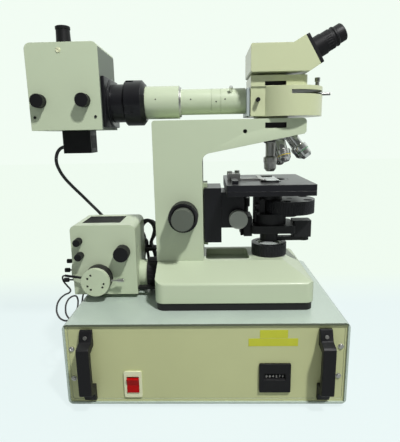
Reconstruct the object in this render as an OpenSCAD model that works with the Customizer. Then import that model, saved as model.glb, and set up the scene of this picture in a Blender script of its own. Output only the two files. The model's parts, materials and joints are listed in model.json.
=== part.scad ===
/* [Supply case] */
// Width of the power supply case
case_w = 450; // [440:1:460]
// Depth of the power supply case
case_d = 318; // [310:1:326]
// Height of the power supply case
case_h = 140; // [136:1:144]
// Wall of the folded case
case_wall = 3; // [2:0.5:4]
// Height of the rubber feet
foot_h = 8; // [6:1:10]
// Width of a rack handle
handle_w = 20; // [18:1:22]

/* [Stand] */
// Half width of the base casting
base_y = 103; // [98:1:108]
// Right end of the base, on the user's side
base_x1 = 205; // [200:1:210]
// Height of the plateau over the base's underside
plateau_h = 69.5; // [66:0.5:72]
// Half width of the arm
arm_y = 44; // [42:1:46]
// Height of the arm's top over the base's underside
arm_top_h = 312; // [308:1:316]
// Rise of the arm's underside towards the nose
arm_rise = 10.6; // [9:0.2:12]
// Distance of the optical axis from the origin
axis_x = 142.5; // [140:0.5:145]

/* [Focus and stage] */
// Height of the focus shaft over the base's underside
focus_h = 152; // [148:1:156]
// Radius of the coarse knobs
coarse_r = 25; // [22:1:27]
// Radius of the fine knobs
fine_r = 18.3; // [16:0.1:20]
// Module of the rack and its pinion
gear_m = 1.25; // [1:0.25:1.25]
// Height of the fixed stage plate over the base's underside
stage_h = 189; // [187:1:191]
// Thickness of the fixed stage plate
stage_t = 8; // [7:0.5:8]
// Radius of the condenser's turret
turret_r = 45; // [42:1:45]

/* [Nosepiece] */
// Rise of the point where the five objective axes meet, over the arm's top
nose_up = 18; // [16:1:20]
// Lean of the nosepiece axis, and cone half angle
nose_a = 20; // [18:0.5:20]
// Objective seat, measured from the meeting point
seat_s = 56; // [56:0.5:57]

/* [Lamp houses] */
// Wall of the folded lamp houses
house_wall = 2.5; // [2:0.5:3]
// Radius of the lamp socket's round cover
socket_r = 25; // [23:0.5:26]

/* [Illuminator and head] */
// Height of the illuminator's axis over the arm's top
tube_up = 31.5; // [30:0.5:33]
// Radius of the filter drum
drum_r = 58.5; // [57:0.5:60]
// Half the distance between the eyepieces
eye_y = 32; // [30:0.5:34]
// Tilt of the eyepieces above level
eye_tilt = 30; // [30:1:30]
// Bore of an eyepiece tube, as a radius
eye_bore = 11.65; // [11.6:0.05:11.7]

/* [Hidden] */

$fn = 64;
// Running clearance of shafts and slides, as a radius or a side gap
fit = 0.05;
// Case
case_x = 24;
case_x0 = case_x - case_w / 2;
case_x1 = case_x + case_w / 2;
case_y0 = -150;
case_y1 = case_y0 + case_d;
case_z1 = foot_h + case_h;
panel_x0 = case_x0 + 7;
panel_x1 = case_x1 - 7;
panel_z0 = foot_h + 8;
panel_z1 = case_z1 - 5;
panel_y = case_y0 + 3;
lip_in = 4;
handle_x = case_w / 2 - 37.5;
handle_front = panel_y - 29.5;
rocker_x = case_x0 + 107.5;
rocker_z = foot_h + 35;
meter_x = case_x1 - 114.7;
meter_z = foot_h + 46;
// Feet, lamp outlets and mains inlet
foot_in = 25;
foot_in_y = 28;
outlet_z = foot_h + 90;
inlet_x = case_x1 - 55;
inlet_z = foot_h + 62;
// Stand
base_x0 = -60;
plate_z1 = case_z1 + 13.5;
edge_z = case_z1 + 48.5;
plateau_z = case_z1 + plateau_h;
arm_x0 = -61;
arm_x1 = 22;
arm_z1 = case_z1 + arm_top_h;
nose_x = 195;
gullet_r = 15;
lamp_axis_z = case_z1 + 33;
nose_z = arm_z1 + nose_up;
tube_z = arm_z1 + tube_up;
field_r = 32;
// Focus drive
focus_x = -11;
focus_z = case_z1 + focus_h;
pinion_teeth = 16;
pinion_r = gear_m * pinion_teeth / 2;
coarse_shaft_r = 8;
fine_shaft_r = 4;
// Stage
stage_z = case_z1 + stage_h;
rail_y = 20;
slide_x = axis_x;
slide_z = stage_z + stage_t + 10.4;
knob_x = 100;
knob_y = 74;
// Condenser
cond_knob_x = 83;
cond_knob_z = stage_z - 46;
cond_m = 1;
cond_teeth = 14;
cond_pitch = cond_m * cond_teeth / 2;
turret_x = axis_x + 35.5;
bracket_x1 = 94;
swing_x = 205;
// Lamp house beside the base
lamp_x0 = -213;
lamp_x1 = -98;
lamp_y0 = -45;
lamp_y1 = 52;
lamp_z0 = case_z1 + 8;
lamp_z1 = lamp_z0 + 128;
socket_x = -167.5;
socket_z = lamp_z0 + 31;
// Arc lamp house
arc_x0 = -257.5;
arc_x1 = -140;
arc_y0 = -55;
arc_y1 = 54;
arc_z0 = tube_z - 44.5;
arc_z1 = arc_z0 + 136;
// Filter drum and head
drum_x = 169.6;
drum_z0 = arm_z1 + 3.2;
drum_z1 = arm_z1 + 50.5;
head_z = drum_z1 + 21.5;
lever_z = arm_z1 + 40.6;
screw_x = drum_x + drum_r - 7.5;
eye_x = 205.5;
eye_z = head_z + 35.3;
eye_len = 51.5;

// Route of the arc lamp's lead, from its socket box to the hank
arc_route = [[-220, 0, 419], [-229, 1, 418], [-237, 3, 413], [-243, 6, 404], [-246, 10, 392],
  [-245, 17, 378], [-240, 26, 362], [-230, 37, 344], [-217, 48, 325], [-203, 58, 305],
  [-189, 66, 286], [-175, 72, 266], [-160, 75, 248], [-143, 75, 235], [-124, 71, 228],
  [-108, 67, 226], [-98, 65, 225]];
// Route of the arc lamp's lead, from the hank to the outlet on the case's back
back_route = [[-91, 74, 152], [-92, 84, 151], [-95, 98, 151], [-100, 114, 151], [-107, 132, 151],
  [-114, 150, 151], [-119, 166, 151], [-120, 179, 150], [-120, 190, 145], [-120, 198, 136],
  [-120, 201, 125], [-120, 198, 113], [-120, 190, 103], [-120, 180, 99], [-120, 164, 98]];
// Route of the halogen lamp's thin lead, from its socket's sleeve into the base
lamp_route = [[-226, -50, 194], [-231, -47, 192], [-234, -43, 186], [-233, -40, 178],
  [-228, -39, 170], [-222, -42, 164], [-221, -50, 162], [-226, -62, 162], [-231, -74, 158],
  [-232, -86, 150], [-228, -95, 140], [-220, -98, 132], [-212, -93, 128], [-207, -82, 129],
  [-205, -68, 134], [-206, -54, 142], [-210, -43, 148], [-216, -37, 150], [-223, -41, 149],
  [-227, -51, 144], [-226, -63, 136], [-221, -72, 127], [-213, -74, 120], [-207, -67, 117],
  [-205, -55, 120], [-205, -42, 128], [-206, -30, 138], [-206, -18, 147], [-201, -6, 151],
  [-190, 6, 151], [-176, 20, 150], [-158, 32, 150], [-138, 39, 150], [-118, 42, 150],
  [-102, 43, 150], [-90, 45, 152], [-80, 49, 158], [-72, 54, 166], [-66, 57, 172],
  [-58, 58, 175]];

// Two-dimensional outlines
module rrect(x0, x1, y0, y1, r) {
  translate([x0 + r, y0]) square([x1 - x0 - 2 * r, y1 - y0]);
  translate([x0, y0 + r]) square([x1 - x0, y1 - y0 - 2 * r]);
  for (x = [x0 + r, x1 - r], y = [y0 + r, y1 - r]) translate([x, y]) circle(r);
}
module round_top(x0, x1, z0, z1, r) {
  translate([x0 + r, z0]) square([x1 - x0 - 2 * r, z1 - z0]);
  translate([x0, z0]) square([x1 - x0, z1 - z0 - r]);
  for (x = [x0 + r, x1 - r]) translate([x, z1 - r]) circle(r);
}
// Slot with round ends, long along its second axis
module slot(x0, x1, y0, y1) {
  r = (x1 - x0) / 2;
  translate([x0, y0 + r]) square([x1 - x0, y1 - y0 - 2 * r]);
  for (y = [y0 + r, y1 - r]) translate([x0 + r, y]) circle(r);
}
module box(x0, x1, y0, y1, z0, z1) {
  translate([x0, y0, z0]) cube([x1 - x0, y1 - y0, z1 - z0]);
}
// Solids drawn out along one axis
module prism_y(y0, y1) {
  translate([0, y1, 0]) rotate([90, 0, 0]) linear_extrude(height = y1 - y0) children();
}
module prism_x(x0, x1) {
  translate([x0, 0, 0]) rotate([90, 0, 90]) linear_extrude(height = x1 - x0) children();
}
module prism_z(z0, z1) {
  translate([0, 0, z0]) linear_extrude(height = z1 - z0) children();
}
module rod_x(x0, x1, y, z, r) {
  translate([x0, y, z]) rotate([0, 90, 0]) cylinder(r = r, h = x1 - x0);
}
module rod_y(y0, y1, x, z, r) {
  translate([x, y0, z]) rotate([-90, 0, 0]) cylinder(r = r, h = y1 - y0);
}
module rod_z(z0, z1, x, y, r) {
  translate([x, y, z0]) cylinder(r = r, h = z1 - z0);
}
// A knob on the y axis: shaft to the right, rim with shallow flutes
module knob_y_axis(x, z, y0, y1, r, flutes) {
  difference() {
    rod_y(y0, y1, x, z, r);
    for (i = [0 : flutes - 1])
      translate([x, 0, z]) rotate([0, i * 360 / flutes, 0])
        translate([r + 0.35, y0 - 1, 0]) rotate([-90, 0, 0]) cylinder(r = 0.9, h = y1 - y0 - 1);
  }
}
// One gear on the y axis, with straight flanked teeth
module pinion(x, z, y0, y1, m, n, turn) {
  r = m * n / 2;
  rod_y(y0, y1, x, z, r - 1.1 * m);
  translate([x, 0, z]) for (i = [0 : n - 1]) rotate([0, turn + i * 360 / n, 0])
    prism_y(y0, y1) polygon([[r - 1.3 * m, -0.9 * m], [r - m, -0.82 * m], [r, -0.58 * m],
      [r + 0.8 * m, -0.28 * m], [r + 0.8 * m, 0.28 * m], [r, 0.58 * m], [r - m, 0.82 * m],
      [r - 1.3 * m, 0.9 * m]]);
}
// Teeth of a rack that face -x, with the pitch line at x and a gap at zc
module rack_teeth(x, zc, y0, y1, m, low, high) {
  for (i = [-low : high - 1]) translate([x, 0, zc + (i + 0.5) * PI * m])
    prism_y(y0, y1) polygon([[1.1 * m, -0.95 * m], [0, -0.6 * m], [-0.8 * m, -0.3 * m],
      [-0.8 * m, 0.3 * m], [0, 0.6 * m], [1.1 * m, 0.95 * m]]);
}
// Frame on the nosepiece axis: z runs down it, x leans towards the user
module on_nose() {
  translate([axis_x, 0, nose_z]) rotate([0, 180 - nose_a, 0]) children();
}
// Frame on one objective's axis, z running down it from the meeting point
module on_objective(k) {
  on_nose() rotate([0, 0, k * 72]) rotate([0, nose_a, 0]) children();
}
// Frame on an eyepiece's axis, z running outwards from the head's plate
module on_eye(side) {
  translate([eye_x, side * eye_y, eye_z]) rotate([0, 90 - eye_tilt, 0]) children();
}
// Round lead along a route: rings carried along with as little twist as can be
function unit(v) = v / norm(v);
function along(p, i) = unit(p[min(i + 1, len(p) - 1)] - p[max(i - 1, 0)]);
function side_of(d, last) = unit(last - (last * d) * d);
function sides(p, i = 0, last = [0.1, 0.2, 1]) =
  i == len(p) ? [] : let (s = side_of(along(p, i), last)) concat([s], sides(p, i + 1, s));
module lead(p, r, n = 8) {
  s = sides(p);
  rings = [for (i = [0 : len(p) - 1], k = [0 : n - 1])
    let (d = along(p, i), a = 360 * k / n) p[i] + r * (cos(a) * s[i] + sin(a) * cross(d, s[i]))];
  walls = [for (i = [0 : len(p) - 2], k = [0 : n - 1])
    [i * n + k, (i + 1) * n + k, (i + 1) * n + (k + 1) % n, i * n + (k + 1) % n]];
  polyhedron(rings, concat(walls, [[for (k = [0 : n - 1]) k]],
    [[for (k = [n - 1 : -1 : 0]) (len(p) - 1) * n + k]]), convexity = 6);
}

// Power supply
module supply_case() color("slategray") difference() {
  prism_y(case_y0, case_y1) rrect(case_x0, case_x1, foot_h, case_z1, 8);
  prism_y(case_y0 + 9, case_y1 - case_wall)
    rrect(case_x0 + case_wall, case_x1 - case_wall, foot_h + case_wall, case_z1 - case_wall, 5);
  prism_y(case_y0 - 1, case_y0 + 10)
    rrect(panel_x0 + lip_in, panel_x1 - lip_in, panel_z0 + lip_in, panel_z1 - lip_in, 2);
  prism_y(case_y0 - 1, case_y0 + 6) rrect(panel_x0, panel_x1, panel_z0, panel_z1, 4);
  for (i = [0 : 13]) translate([case_x - 20 + i * 9, 0, 0])
    prism_y(case_y1 - 5, case_y1 + 1) slot(-2, 2, foot_h + 42, case_z1 - 42);
  for (x = [-120, -70]) rod_y(case_y1 - 5, case_y1 + 1, x, outlet_z, 11);
  box(inlet_x - 14, inlet_x + 14, case_y1 - 5, case_y1 + 1, inlet_z - 10, inlet_z + 10);
  for (i = [0 : 9], y = [-70, 30]) translate([case_x - 90 + i * 20, y, 0])
    prism_z(foot_h - 1, foot_h + 5) slot(-2, 2, 0, 50);
}
module supply_panel() color("palegoldenrod") {
  rod_x(rocker_x - 10.5, rocker_x + 10.5, panel_y + 8, rocker_z, 1.5);
  panel_plate();
}
module panel_plate() difference() {
  union() {
    prism_y(panel_y, panel_y + 3) rrect(panel_x0 + 0.2, panel_x1 - 0.2, panel_z0 + 0.2, panel_z1 - 0.2, 4);
    prism_y(panel_y - 3, panel_y + 1) rrect(rocker_x - 14.5, rocker_x + 14.5, rocker_z - 23, rocker_z + 23, 3);
    box(rocker_x - 11, rocker_x + 11, panel_y + 3, panel_y + 22, rocker_z - 16, rocker_z + 16);
  }
  box(rocker_x - 10, rocker_x + 10, panel_y - 4, panel_y + 20, rocker_z - 14, rocker_z + 14);
  box(meter_x - 22.5, meter_x + 22.5, panel_y - 1, panel_y + 4, meter_z - 22.5, meter_z + 22.5);
}
module rubber_feet() color("dimgray") {
  for (x = [case_x0 + foot_in, case_x1 - foot_in], y = [case_y0 + foot_in_y, case_y1 - foot_in_y])
  difference() {
    translate([x, y, 0]) cylinder(r = 11, h = foot_h);
    translate([x, y, -1]) cylinder(r = 4, h = 4);
  }
  for (x = [case_x0 + foot_in, case_x1 - foot_in], z = [foot_h + 26, case_z1 - 26])
    rod_y(case_y1, case_y1 + 8.5, x, z, 9);
}
module rack_handles() color("black") for (s = [-1, 1]) translate([case_x + s * handle_x, 0, 0]) {
  top = case_z1 - 9;
  low = foot_h + 8;
  prism_x(-handle_w / 2, handle_w / 2) difference() {
    polygon([[panel_y, top], [panel_y - 5, top], [panel_y - 13, top - 17], [handle_front + 3, top - 20],
      [handle_front, top - 23], [handle_front, low + 24], [handle_front + 3, low + 21],
      [panel_y - 13, low + 17], [panel_y - 5, low], [panel_y, low]]);
    polygon([[panel_y + 1, top - 28], [panel_y - 10, top - 30], [handle_front + 11, top - 32],
      [handle_front + 11, low + 33], [panel_y - 10, low + 30], [panel_y + 1, low + 28]]);
  }
}
module screw_y(x, y, z, r, t) {
  difference() {
    rod_y(y - t, y, x, z, r);
    translate([x, y - t, z]) rotate([0, 35, 0]) cube([3 * r, 1, 0.7], center = true);
  }
}
module screws() color("silver") {
  // panel screws in cup washers
  for (p = [[case_x0 + 11.6, 97], [case_x0 + 11.6, 45], [case_x1 - 12.5, 100], [case_x1 - 14, 49]]) {
    difference() {
      rod_y(panel_y - 1.2, panel_y, p[0], foot_h + p[1], 4.4);
      rod_y(panel_y - 2, panel_y - 0.4, p[0], foot_h + p[1], 3.4);
    }
    screw_y(p[0], panel_y - 0.4, foot_h + p[1], 3, 2);
  }
  for (x = [arc_x0 + 7.5, arc_x1 - 10]) screw_y(x, arc_y0, arc_z0 + 21, 2.2, 1.2);
  screw_y(arc_x0 + 54.8, arc_y0, arc_z1 - 12, 4, 1);
  translate([socket_x + socket_r - 6.8, -58, socket_z]) rotate([0, 90, 0]) cylinder(r = 1.5, h = 19);
  translate([socket_x + socket_r + 12.2, -58, socket_z]) rotate([0, 90, 0]) cylinder(r = 3.2, h = 11);
}
module switch_rocker() color("red") difference() {
  intersection() {
    box(rocker_x - 9.7, rocker_x + 9.7, panel_y - 8, panel_y + 16, rocker_z - 13.4, rocker_z + 13.4);
    translate([0, panel_y + 8, rocker_z]) rotate([6, 0, 0]) union() {
      prism_x(rocker_x - 10, rocker_x + 10) polygon([[-8, -12.6], [-14, -12.2], [-11.5, 0],
        [-14, 12.2], [-8, 12.6], [2, 5], [2, -5]]);
    }
  }
  rod_x(rocker_x - 11, rocker_x + 11, panel_y + 8, rocker_z, 1.55);
}
module hour_meter() color("black") {
  difference() {
    union() {
      prism_y(panel_y - 4, panel_y) rrect(meter_x - 25, meter_x + 25, meter_z - 25, meter_z + 25, 2);
      box(meter_x - 22, meter_x + 22, panel_y, panel_y + 32, meter_z - 22, meter_z + 22);
    }
    box(meter_x - 17, meter_x + 17, panel_y - 5, panel_y - 2, meter_z - 3, meter_z + 8);
    box(meter_x - 16, meter_x + 16, panel_y - 3, panel_y + 1, meter_z - 2, meter_z + 7);
  }
  for (i = [0 : 5])
    rod_x(meter_x - 15.5 + i * 5.2, meter_x - 10.8 + i * 5.2, panel_y + 2.5, meter_z + 2.5, 3.9);
}
module power_pack() color("darkorange") {
  // transformer on the floor plate, choke, and the connectors in the back wall
  box(case_x0 + 41, case_x1 - 69, case_y0 + 70, case_y1 - 48, foot_h + case_wall, foot_h + case_wall + 2);
  for (p = [[60, 20, 84, 70, 78], [-110, -10, 66, 56, 60]]) translate([p[0], p[1], foot_h + case_wall + 2])
    difference() {
      translate([-p[2] / 2, -p[3] / 2, 0]) cube([p[2], p[3], p[4]]);
      for (s = [-1, 1]) translate([s * p[2] / 4 - 5, -p[3], 14]) cube([10, 2 * p[3], p[4] - 28]);
    }
  for (x = [-10, 20]) rod_z(foot_h + case_wall + 2, foot_h + 72, x - 30, 80, 13);
  for (x = [-120, -70]) difference() {
    rod_y(case_y1 - 26, case_y1 + 8, x, outlet_z, 11);
    rod_y(case_y1 - 12, case_y1 + 9, x, outlet_z, x == -120 ? 3 : 8);
  }
  difference() {
    box(inlet_x - 14, inlet_x + 14, case_y1 - 26, case_y1 + 1, inlet_z - 10, inlet_z + 10);
    box(inlet_x - 12, inlet_x + 12, case_y1 - 14, case_y1 + 2, inlet_z - 8, inlet_z + 8);
  }
}

// Stand
module base_plate() color("dimgray") difference() {
  prism_z(case_z1, plate_z1) rrect(base_x0 + 2, base_x1 - 2, -base_y + 2, base_y - 2, 14);
  for (x = [-40, 180], y = [-80, 80]) rod_z(case_z1 - 1, case_z1 + 3, x, y, 5);
  prism_z(case_z1 + 4, plate_z1 + 1) rrect(base_x0 + 12, base_x1 - 12, -base_y + 12, base_y - 12, 6);
}
module base_casting() color("beige") difference() {
  union() {
    intersection() {
      prism_z(plate_z1, plateau_z) rrect(base_x0, base_x1, -base_y, base_y, 16);
      prism_x(base_x0 - 1, base_x1 + 1) polygon([[-base_y - 1, plate_z1], [-base_y - 1, edge_z - 5],
        [-base_y + 1, edge_z - 1.5], [-base_y + 4, edge_z + 0.5], [-arm_y, plateau_z],
        [arm_y, plateau_z], [base_y - 4, edge_z + 0.5], [base_y - 1, edge_z - 1.5],
        [base_y + 1, edge_z - 5], [base_y + 1, plate_z1]]);
      prism_y(-base_y - 1, base_y + 1) polygon([[base_x0 - 1, plate_z1], [base_x0 - 1, plateau_z],
        [base_x1 - 43, plateau_z], [base_x1 - 4, edge_z], [base_x1 - 1, edge_z - 2],
        [base_x1 + 1, edge_z - 5], [base_x1 + 1, plate_z1]]);
    }
    rod_z(plateau_z - 1, plateau_z + 21, axis_x, 0, 24);
  }
  prism_z(plate_z1 - 1, plate_z1 + 25.5) rrect(base_x0 + 7, base_x1 - 7, -base_y + 7, base_y - 7, 10);
  box(base_x0 + 7, axis_x + 22.5, -38, 38, plate_z1 + 24.5, plate_z1 + 37.5);
  prism_z(plateau_z - 13, plateau_z + 1) rrect(26, 104, -34, 34, 6);
  rod_z(plate_z1 + 36.5, plateau_z + 15, axis_x, 0, 18);
  rod_z(plate_z1 + 36.5, plate_z1 + 44.5, axis_x, 0, 27);
  rod_z(plateau_z + 14.5, plateau_z + 22, axis_x, 0, 20);
  rod_x(base_x0 - 1, base_x0 + 8, 0, lamp_axis_z, 20);
}
module arm_outline() {
  rise = tan(arm_rise);
  under = arm_z1 - 54;
  corner = [arm_x1, under + (arm_x1 - 39) * rise];
  // fillet in the corner under the arm
  centre = [arm_x1 + gullet_r, corner[1] + gullet_r * rise - gullet_r / cos(arm_rise)];
  touch = centre + gullet_r * [-sin(arm_rise), cos(arm_rise)];
  polygon([[arm_x0, plateau_z], [arm_x0, arm_z1 - 5], [arm_x0 + 5, arm_z1], [nose_x - 6, arm_z1],
    [nose_x, arm_z1 - 6], [nose_x, under + (nose_x - 39) * rise + 3],
    [nose_x - 3, under + (nose_x - 42) * rise], corner, [arm_x1, plateau_z]]);
  translate([arm_x0 + 5, arm_z1 - 5]) circle(5);
  translate([nose_x - 6, arm_z1 - 6]) circle(6);
  difference() {
    polygon([corner, touch, centre, [arm_x1, centre[1]]]);
    translate(centre) circle(gullet_r);
  }
}
module arm() color("beige") {
  difference() {
    union() {
      prism_y(-arm_y, arm_y) arm_outline();
      for (s = [-1, 1]) rod_y(s > 0 ? arm_y : -arm_y - 1, s > 0 ? arm_y + 1 : -arm_y, focus_x, focus_z, 14);
    }
    box(arm_x0 + 10, arm_x1 - 9, -34, 34, plateau_z - 1, arm_z1 - 30);
    box(arm_x1 - 10, arm_x1 + 1, -8, 8, stage_z - 85, stage_z + 19);
    rod_y(-arm_y - 2, arm_y + 2, focus_x, focus_z, coarse_shaft_r + fit);
    // pocket of the nosepiece, light path, filter slot and plug hole
    on_nose() translate([0, 0, 35.5]) cylinder(r = 31.5, h = 60);
    rod_z(arm_z1 - 35, arm_z1 + 1, axis_x, 0, 11);
    prism_y(-arm_y - 1, -arm_y + 7) rrect(axis_x - 15.5, axis_x + 19.5, arm_z1 - 15.5, arm_z1 - 6.6, 0.8);
    rod_y(-arm_y - 1, -arm_y + 6, axis_x - 48.5, arm_z1 - 20, 3.4);
  }
  on_nose() translate([0, 0, 31]) cylinder(r = 5, h = 18.5);
  // dovetail rails that carry the stage
  for (s = [-1, 1]) prism_z(stage_z - 97, stage_z + 15) polygon([[arm_x1, s * 8], [arm_x1 + 8, s * 8],
    [arm_x1 + 8, s * rail_y], [arm_x1, s * (rail_y - 4)]]);
}
module focus_coarse() color("black") difference() {
  union() {
    for (s = [-1, 1]) {
      a = s > 0 ? arm_y + 1.4 : -arm_y - 28;
      knob_y_axis(focus_x, focus_z, a, a + 26.6, coarse_r, 36);
    }
    rod_y(-arm_y - 2, arm_y + 2, focus_x, focus_z, coarse_shaft_r);
    pinion(focus_x, focus_z, -7, 7, gear_m, pinion_teeth, 0);
  }
  rod_y(-80, 80, focus_x, focus_z, fine_shaft_r + fit);
  for (s = [-1, 1]) rod_y(s > 0 ? 66 : -73, s > 0 ? 73 : -66, focus_x, focus_z, fine_r + 1.5);
}
module focus_fine() color("lightgray") {
  rod_y(-70, 70, focus_x, focus_z, fine_shaft_r);
  for (s = [-1, 1]) {
    a = s > 0 ? 66.5 : -92;
    knob_y_axis(focus_x, focus_z, a, a + 25.5, fine_r, 40);
  }
}
module field_ring() color("black") difference() {
  rod_z(plateau_z + 0.4, plateau_z + 22, axis_x, 0, field_r);
  rod_z(plateau_z - 1, plateau_z + 23, axis_x, 0, 24 + fit);
  for (i = [0 : 39]) translate([axis_x, 0, 0]) rotate([0, 0, i * 9])
    rod_z(plateau_z + 3, plateau_z + 19, field_r + 0.5, 0, 1.2);
}
module fixed_optics() color("lightcyan") {
  rod_z(plateau_z + 14.5, plateau_z + 18.5, axis_x, 0, 20);
  prism_y(-17, 17) polygon([[axis_x - 19.5, plate_z1 - 9.5], [axis_x + 18.5, plate_z1 - 9.5],
    [axis_x + 18.5, plate_z1 + 39.5], [axis_x - 19.5, plate_z1 + 1.5]]);
  rod_x(-79, -73, 0, lamp_axis_z, 20);
  rod_x(-126, -120, 0, tube_z, 20);
  // reflector behind the arc lamp, on its post
  difference() {
    rod_x(-246, -238, 0, tube_z, 22);
    translate([-205, 0, tube_z]) sphere(r = 38);
  }
  rod_z(arc_z0 + 3, tube_z - 21.5, -242, 0, 3);
}

// Stage
module stage_carriage() color("dimgray") {
  difference() {
    union() {
      box(arm_x1 + 2, 54, -35, 35, stage_z - 89, stage_z + 8);
      box(54, bracket_x1, -32, 32, stage_z - 63, stage_z);
    }
    prism_z(stage_z - 97, stage_z + 15)
      polygon([[arm_x1 + 1.5, -rail_y + 3.15], [arm_x1 + 8 + fit, -rail_y - 2 * fit],
      [arm_x1 + 8 + fit, rail_y + 2 * fit], [arm_x1 + 1.5, rail_y - 3.15]]);
    rod_y(-40, 40, cond_knob_x, cond_knob_z, 4 + fit);
    box(cond_knob_x - 10, bracket_x1 + 1, -7, 7, stage_z - 64, stage_z - 15);
    // dovetail groove for the condenser carrier
    prism_z(stage_z - 64, stage_z - 15)
      polygon([[bracket_x1 + 1, -14.5], [bracket_x1 - 5, -18], [bracket_x1 - 5, 18], [bracket_x1 + 1, 14.5]]);
  }
  // link through the column's slot, with the focus rack on its end
  box(focus_x + pinion_r + 2.2, arm_x1 + 10, -7, 7, stage_z - 75, stage_z + 3);
  rack_teeth(focus_x + pinion_r + 0.9, focus_z, -6.5, 6.5, gear_m, 9, 9);
}
module stage_plate() color("black") {
  difference() {
    prism_z(stage_z, stage_z + stage_t) rrect(61.5, 206, -87, 87, 3);
    rod_z(stage_z - 1, stage_z + 9, axis_x, 0, 34);
    for (y = [-60, 60]) box(60, 207, y - 5, y + 5, stage_z + 4, stage_z + 9);
  }
  difference() {
    rod_z(stage_z - 25, stage_z, knob_x, knob_y, 8);
    rod_z(stage_z - 26, stage_z - 0.5, knob_x, knob_y, 5 + fit);
  }
}
module stage_top() color("darkslategray") {
  difference() {
    union() {
      prism_z(stage_z + stage_t + 0.3, stage_z + stage_t + 10.3) rrect(61.5, 206, -87, 87, 3);
      for (y = [-60, 60]) box(62, 205, y - 5 + fit, y + 5 - fit, stage_z + 4.3, stage_z + stage_t + 1);
    }
    prism_z(stage_z + 3, stage_z + 20) {
      for (s = [-12, 12]) translate([axis_x + s, 0]) circle(15);
      translate([axis_x - 12, -15]) square([24, 30]);
    }
    translate([axis_x, 0, stage_z + stage_t + 9.5]) difference() {
      cylinder(r = 33, h = 2);
      translate([0, 0, -1]) cylinder(r = 32, h = 4);
    }
  }
  // cross rail that carries the slide holder
  prism_z(stage_z + stage_t + 10.3, stage_z + stage_t + 16.3)
    polygon([[71, -72], [81, -72], [81, 72], [71, 72]]);
}
module slide_holder() color("silver") {
  z0 = stage_z + stage_t + 10.6;
  difference() {
    union() {
      box(66, 88, -17, 17, z0, z0 + 12);
      box(86, 124, -12, -4, z0, z0 + 3);
      box(122, 129.2, -36, 44, z0, z0 + 2.6);
      box(126, 152, 38.2, 44, z0, z0 + 2.6);
      rod_z(z0 + 11, z0 + 16, 70, -9, 4.5);
      rod_z(z0 + 11, z0 + 16, 84, 6, 4.5);
    }
    box(71 - fit, 81 + fit, -18, 18, z0 - 1, z0 + 5.7 + fit);
  }
  box(121, 130, -47, -33, z0 + 2.6, z0 + 4.6);
  rod_z(z0 + 0.3, z0 + 4, 125.5, -42, 2);
}
module holder_finger() color("dimgray") {
  z0 = stage_z + stage_t + 10.8;
  difference() {
    union() {
      rod_z(z0, z0 + 2, 125.5, -42, 4.2);
      prism_z(z0, z0 + 2) polygon([[126, -46.2], [140, -48], [152, -44.6], [151, -38.2], [148.5, -38.2],
        [147, -42.5], [140, -44.2], [126, -40.5]]);
    }
    rod_z(z0 - 1, z0 + 3, 125.5, -42, 2 + fit);
  }
}
module glass_slide() color("lightcyan")
  translate([slide_x - 13, -38, slide_z]) cube([26, 76, 1]);
module stage_knob_x() color("black") difference() {
  union() {
    rod_z(stage_z - 43, stage_z - 25.4, knob_x, knob_y, 14);
    rod_z(stage_z - 26, stage_z - 1, knob_x, knob_y, 5);
  }
  rod_z(stage_z - 47, stage_z, knob_x, knob_y, 3 + fit);
  for (i = [0 : 29]) translate([knob_x, knob_y, 0]) rotate([0, 0, i * 12])
      rod_z(stage_z - 41, stage_z - 28, 14.4, 0, 0.9);
}
module stage_knob_y() color("black") difference() {
  union() {
    rod_z(stage_z - 62, stage_z - 43.4, knob_x, knob_y, 11);
    rod_z(stage_z - 44, stage_z - 1, knob_x, knob_y, 3);
  }
  for (i = [0 : 23]) translate([knob_x, knob_y, 0]) rotate([0, 0, i * 15])
      rod_z(stage_z - 60, stage_z - 46, 11.4, 0, 0.9);
}

// Condenser
module condenser_carrier() color("dimgray") {
  difference() {
    union() {
      box(bracket_x1 + 0.3, 109, -24, 24, stage_z - 81, stage_z - 45);
      prism_z(stage_z - 75, stage_z - 61.1) rrect(106, 186, -34, 34, 10);
      prism_z(stage_z - 86, stage_z - 56) rrect(swing_x - 21, swing_x + 12, -14, 14, 3);
      prism_z(stage_z - 81, stage_z - 31)
        polygon([[bracket_x1 + 1, -14.5 + fit], [bracket_x1 - 5 + fit, -18 + fit],
        [bracket_x1 - 5 + fit, 18 - fit], [bracket_x1 + 1, 14.5 - fit]]);
    }
    box(bracket_x1 - 6, cond_knob_x + cond_pitch + 1.9, -6.6, 6.6, stage_z - 82, stage_z - 30);
    rod_z(stage_z - 82, stage_z - 57, axis_x, 0, 20);
  }
  rod_z(stage_z - 93.6, stage_z - 85, swing_x, 0, 3);
  rack_teeth(cond_knob_x + cond_pitch + 0.8, cond_knob_z, -6, 6, cond_m, 8, 4);
}
module condenser_knob() color("gray") {
  knob_y_axis(cond_knob_x, cond_knob_z, -50, -36, 16, 30);
  rod_y(-36, -32.4, cond_knob_x, cond_knob_z, 11);
  rod_y(-33, 30, cond_knob_x, cond_knob_z, 4);
  pinion(cond_knob_x, cond_knob_z, -5.5, 5.5, cond_m, cond_teeth, 0);
}
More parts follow.
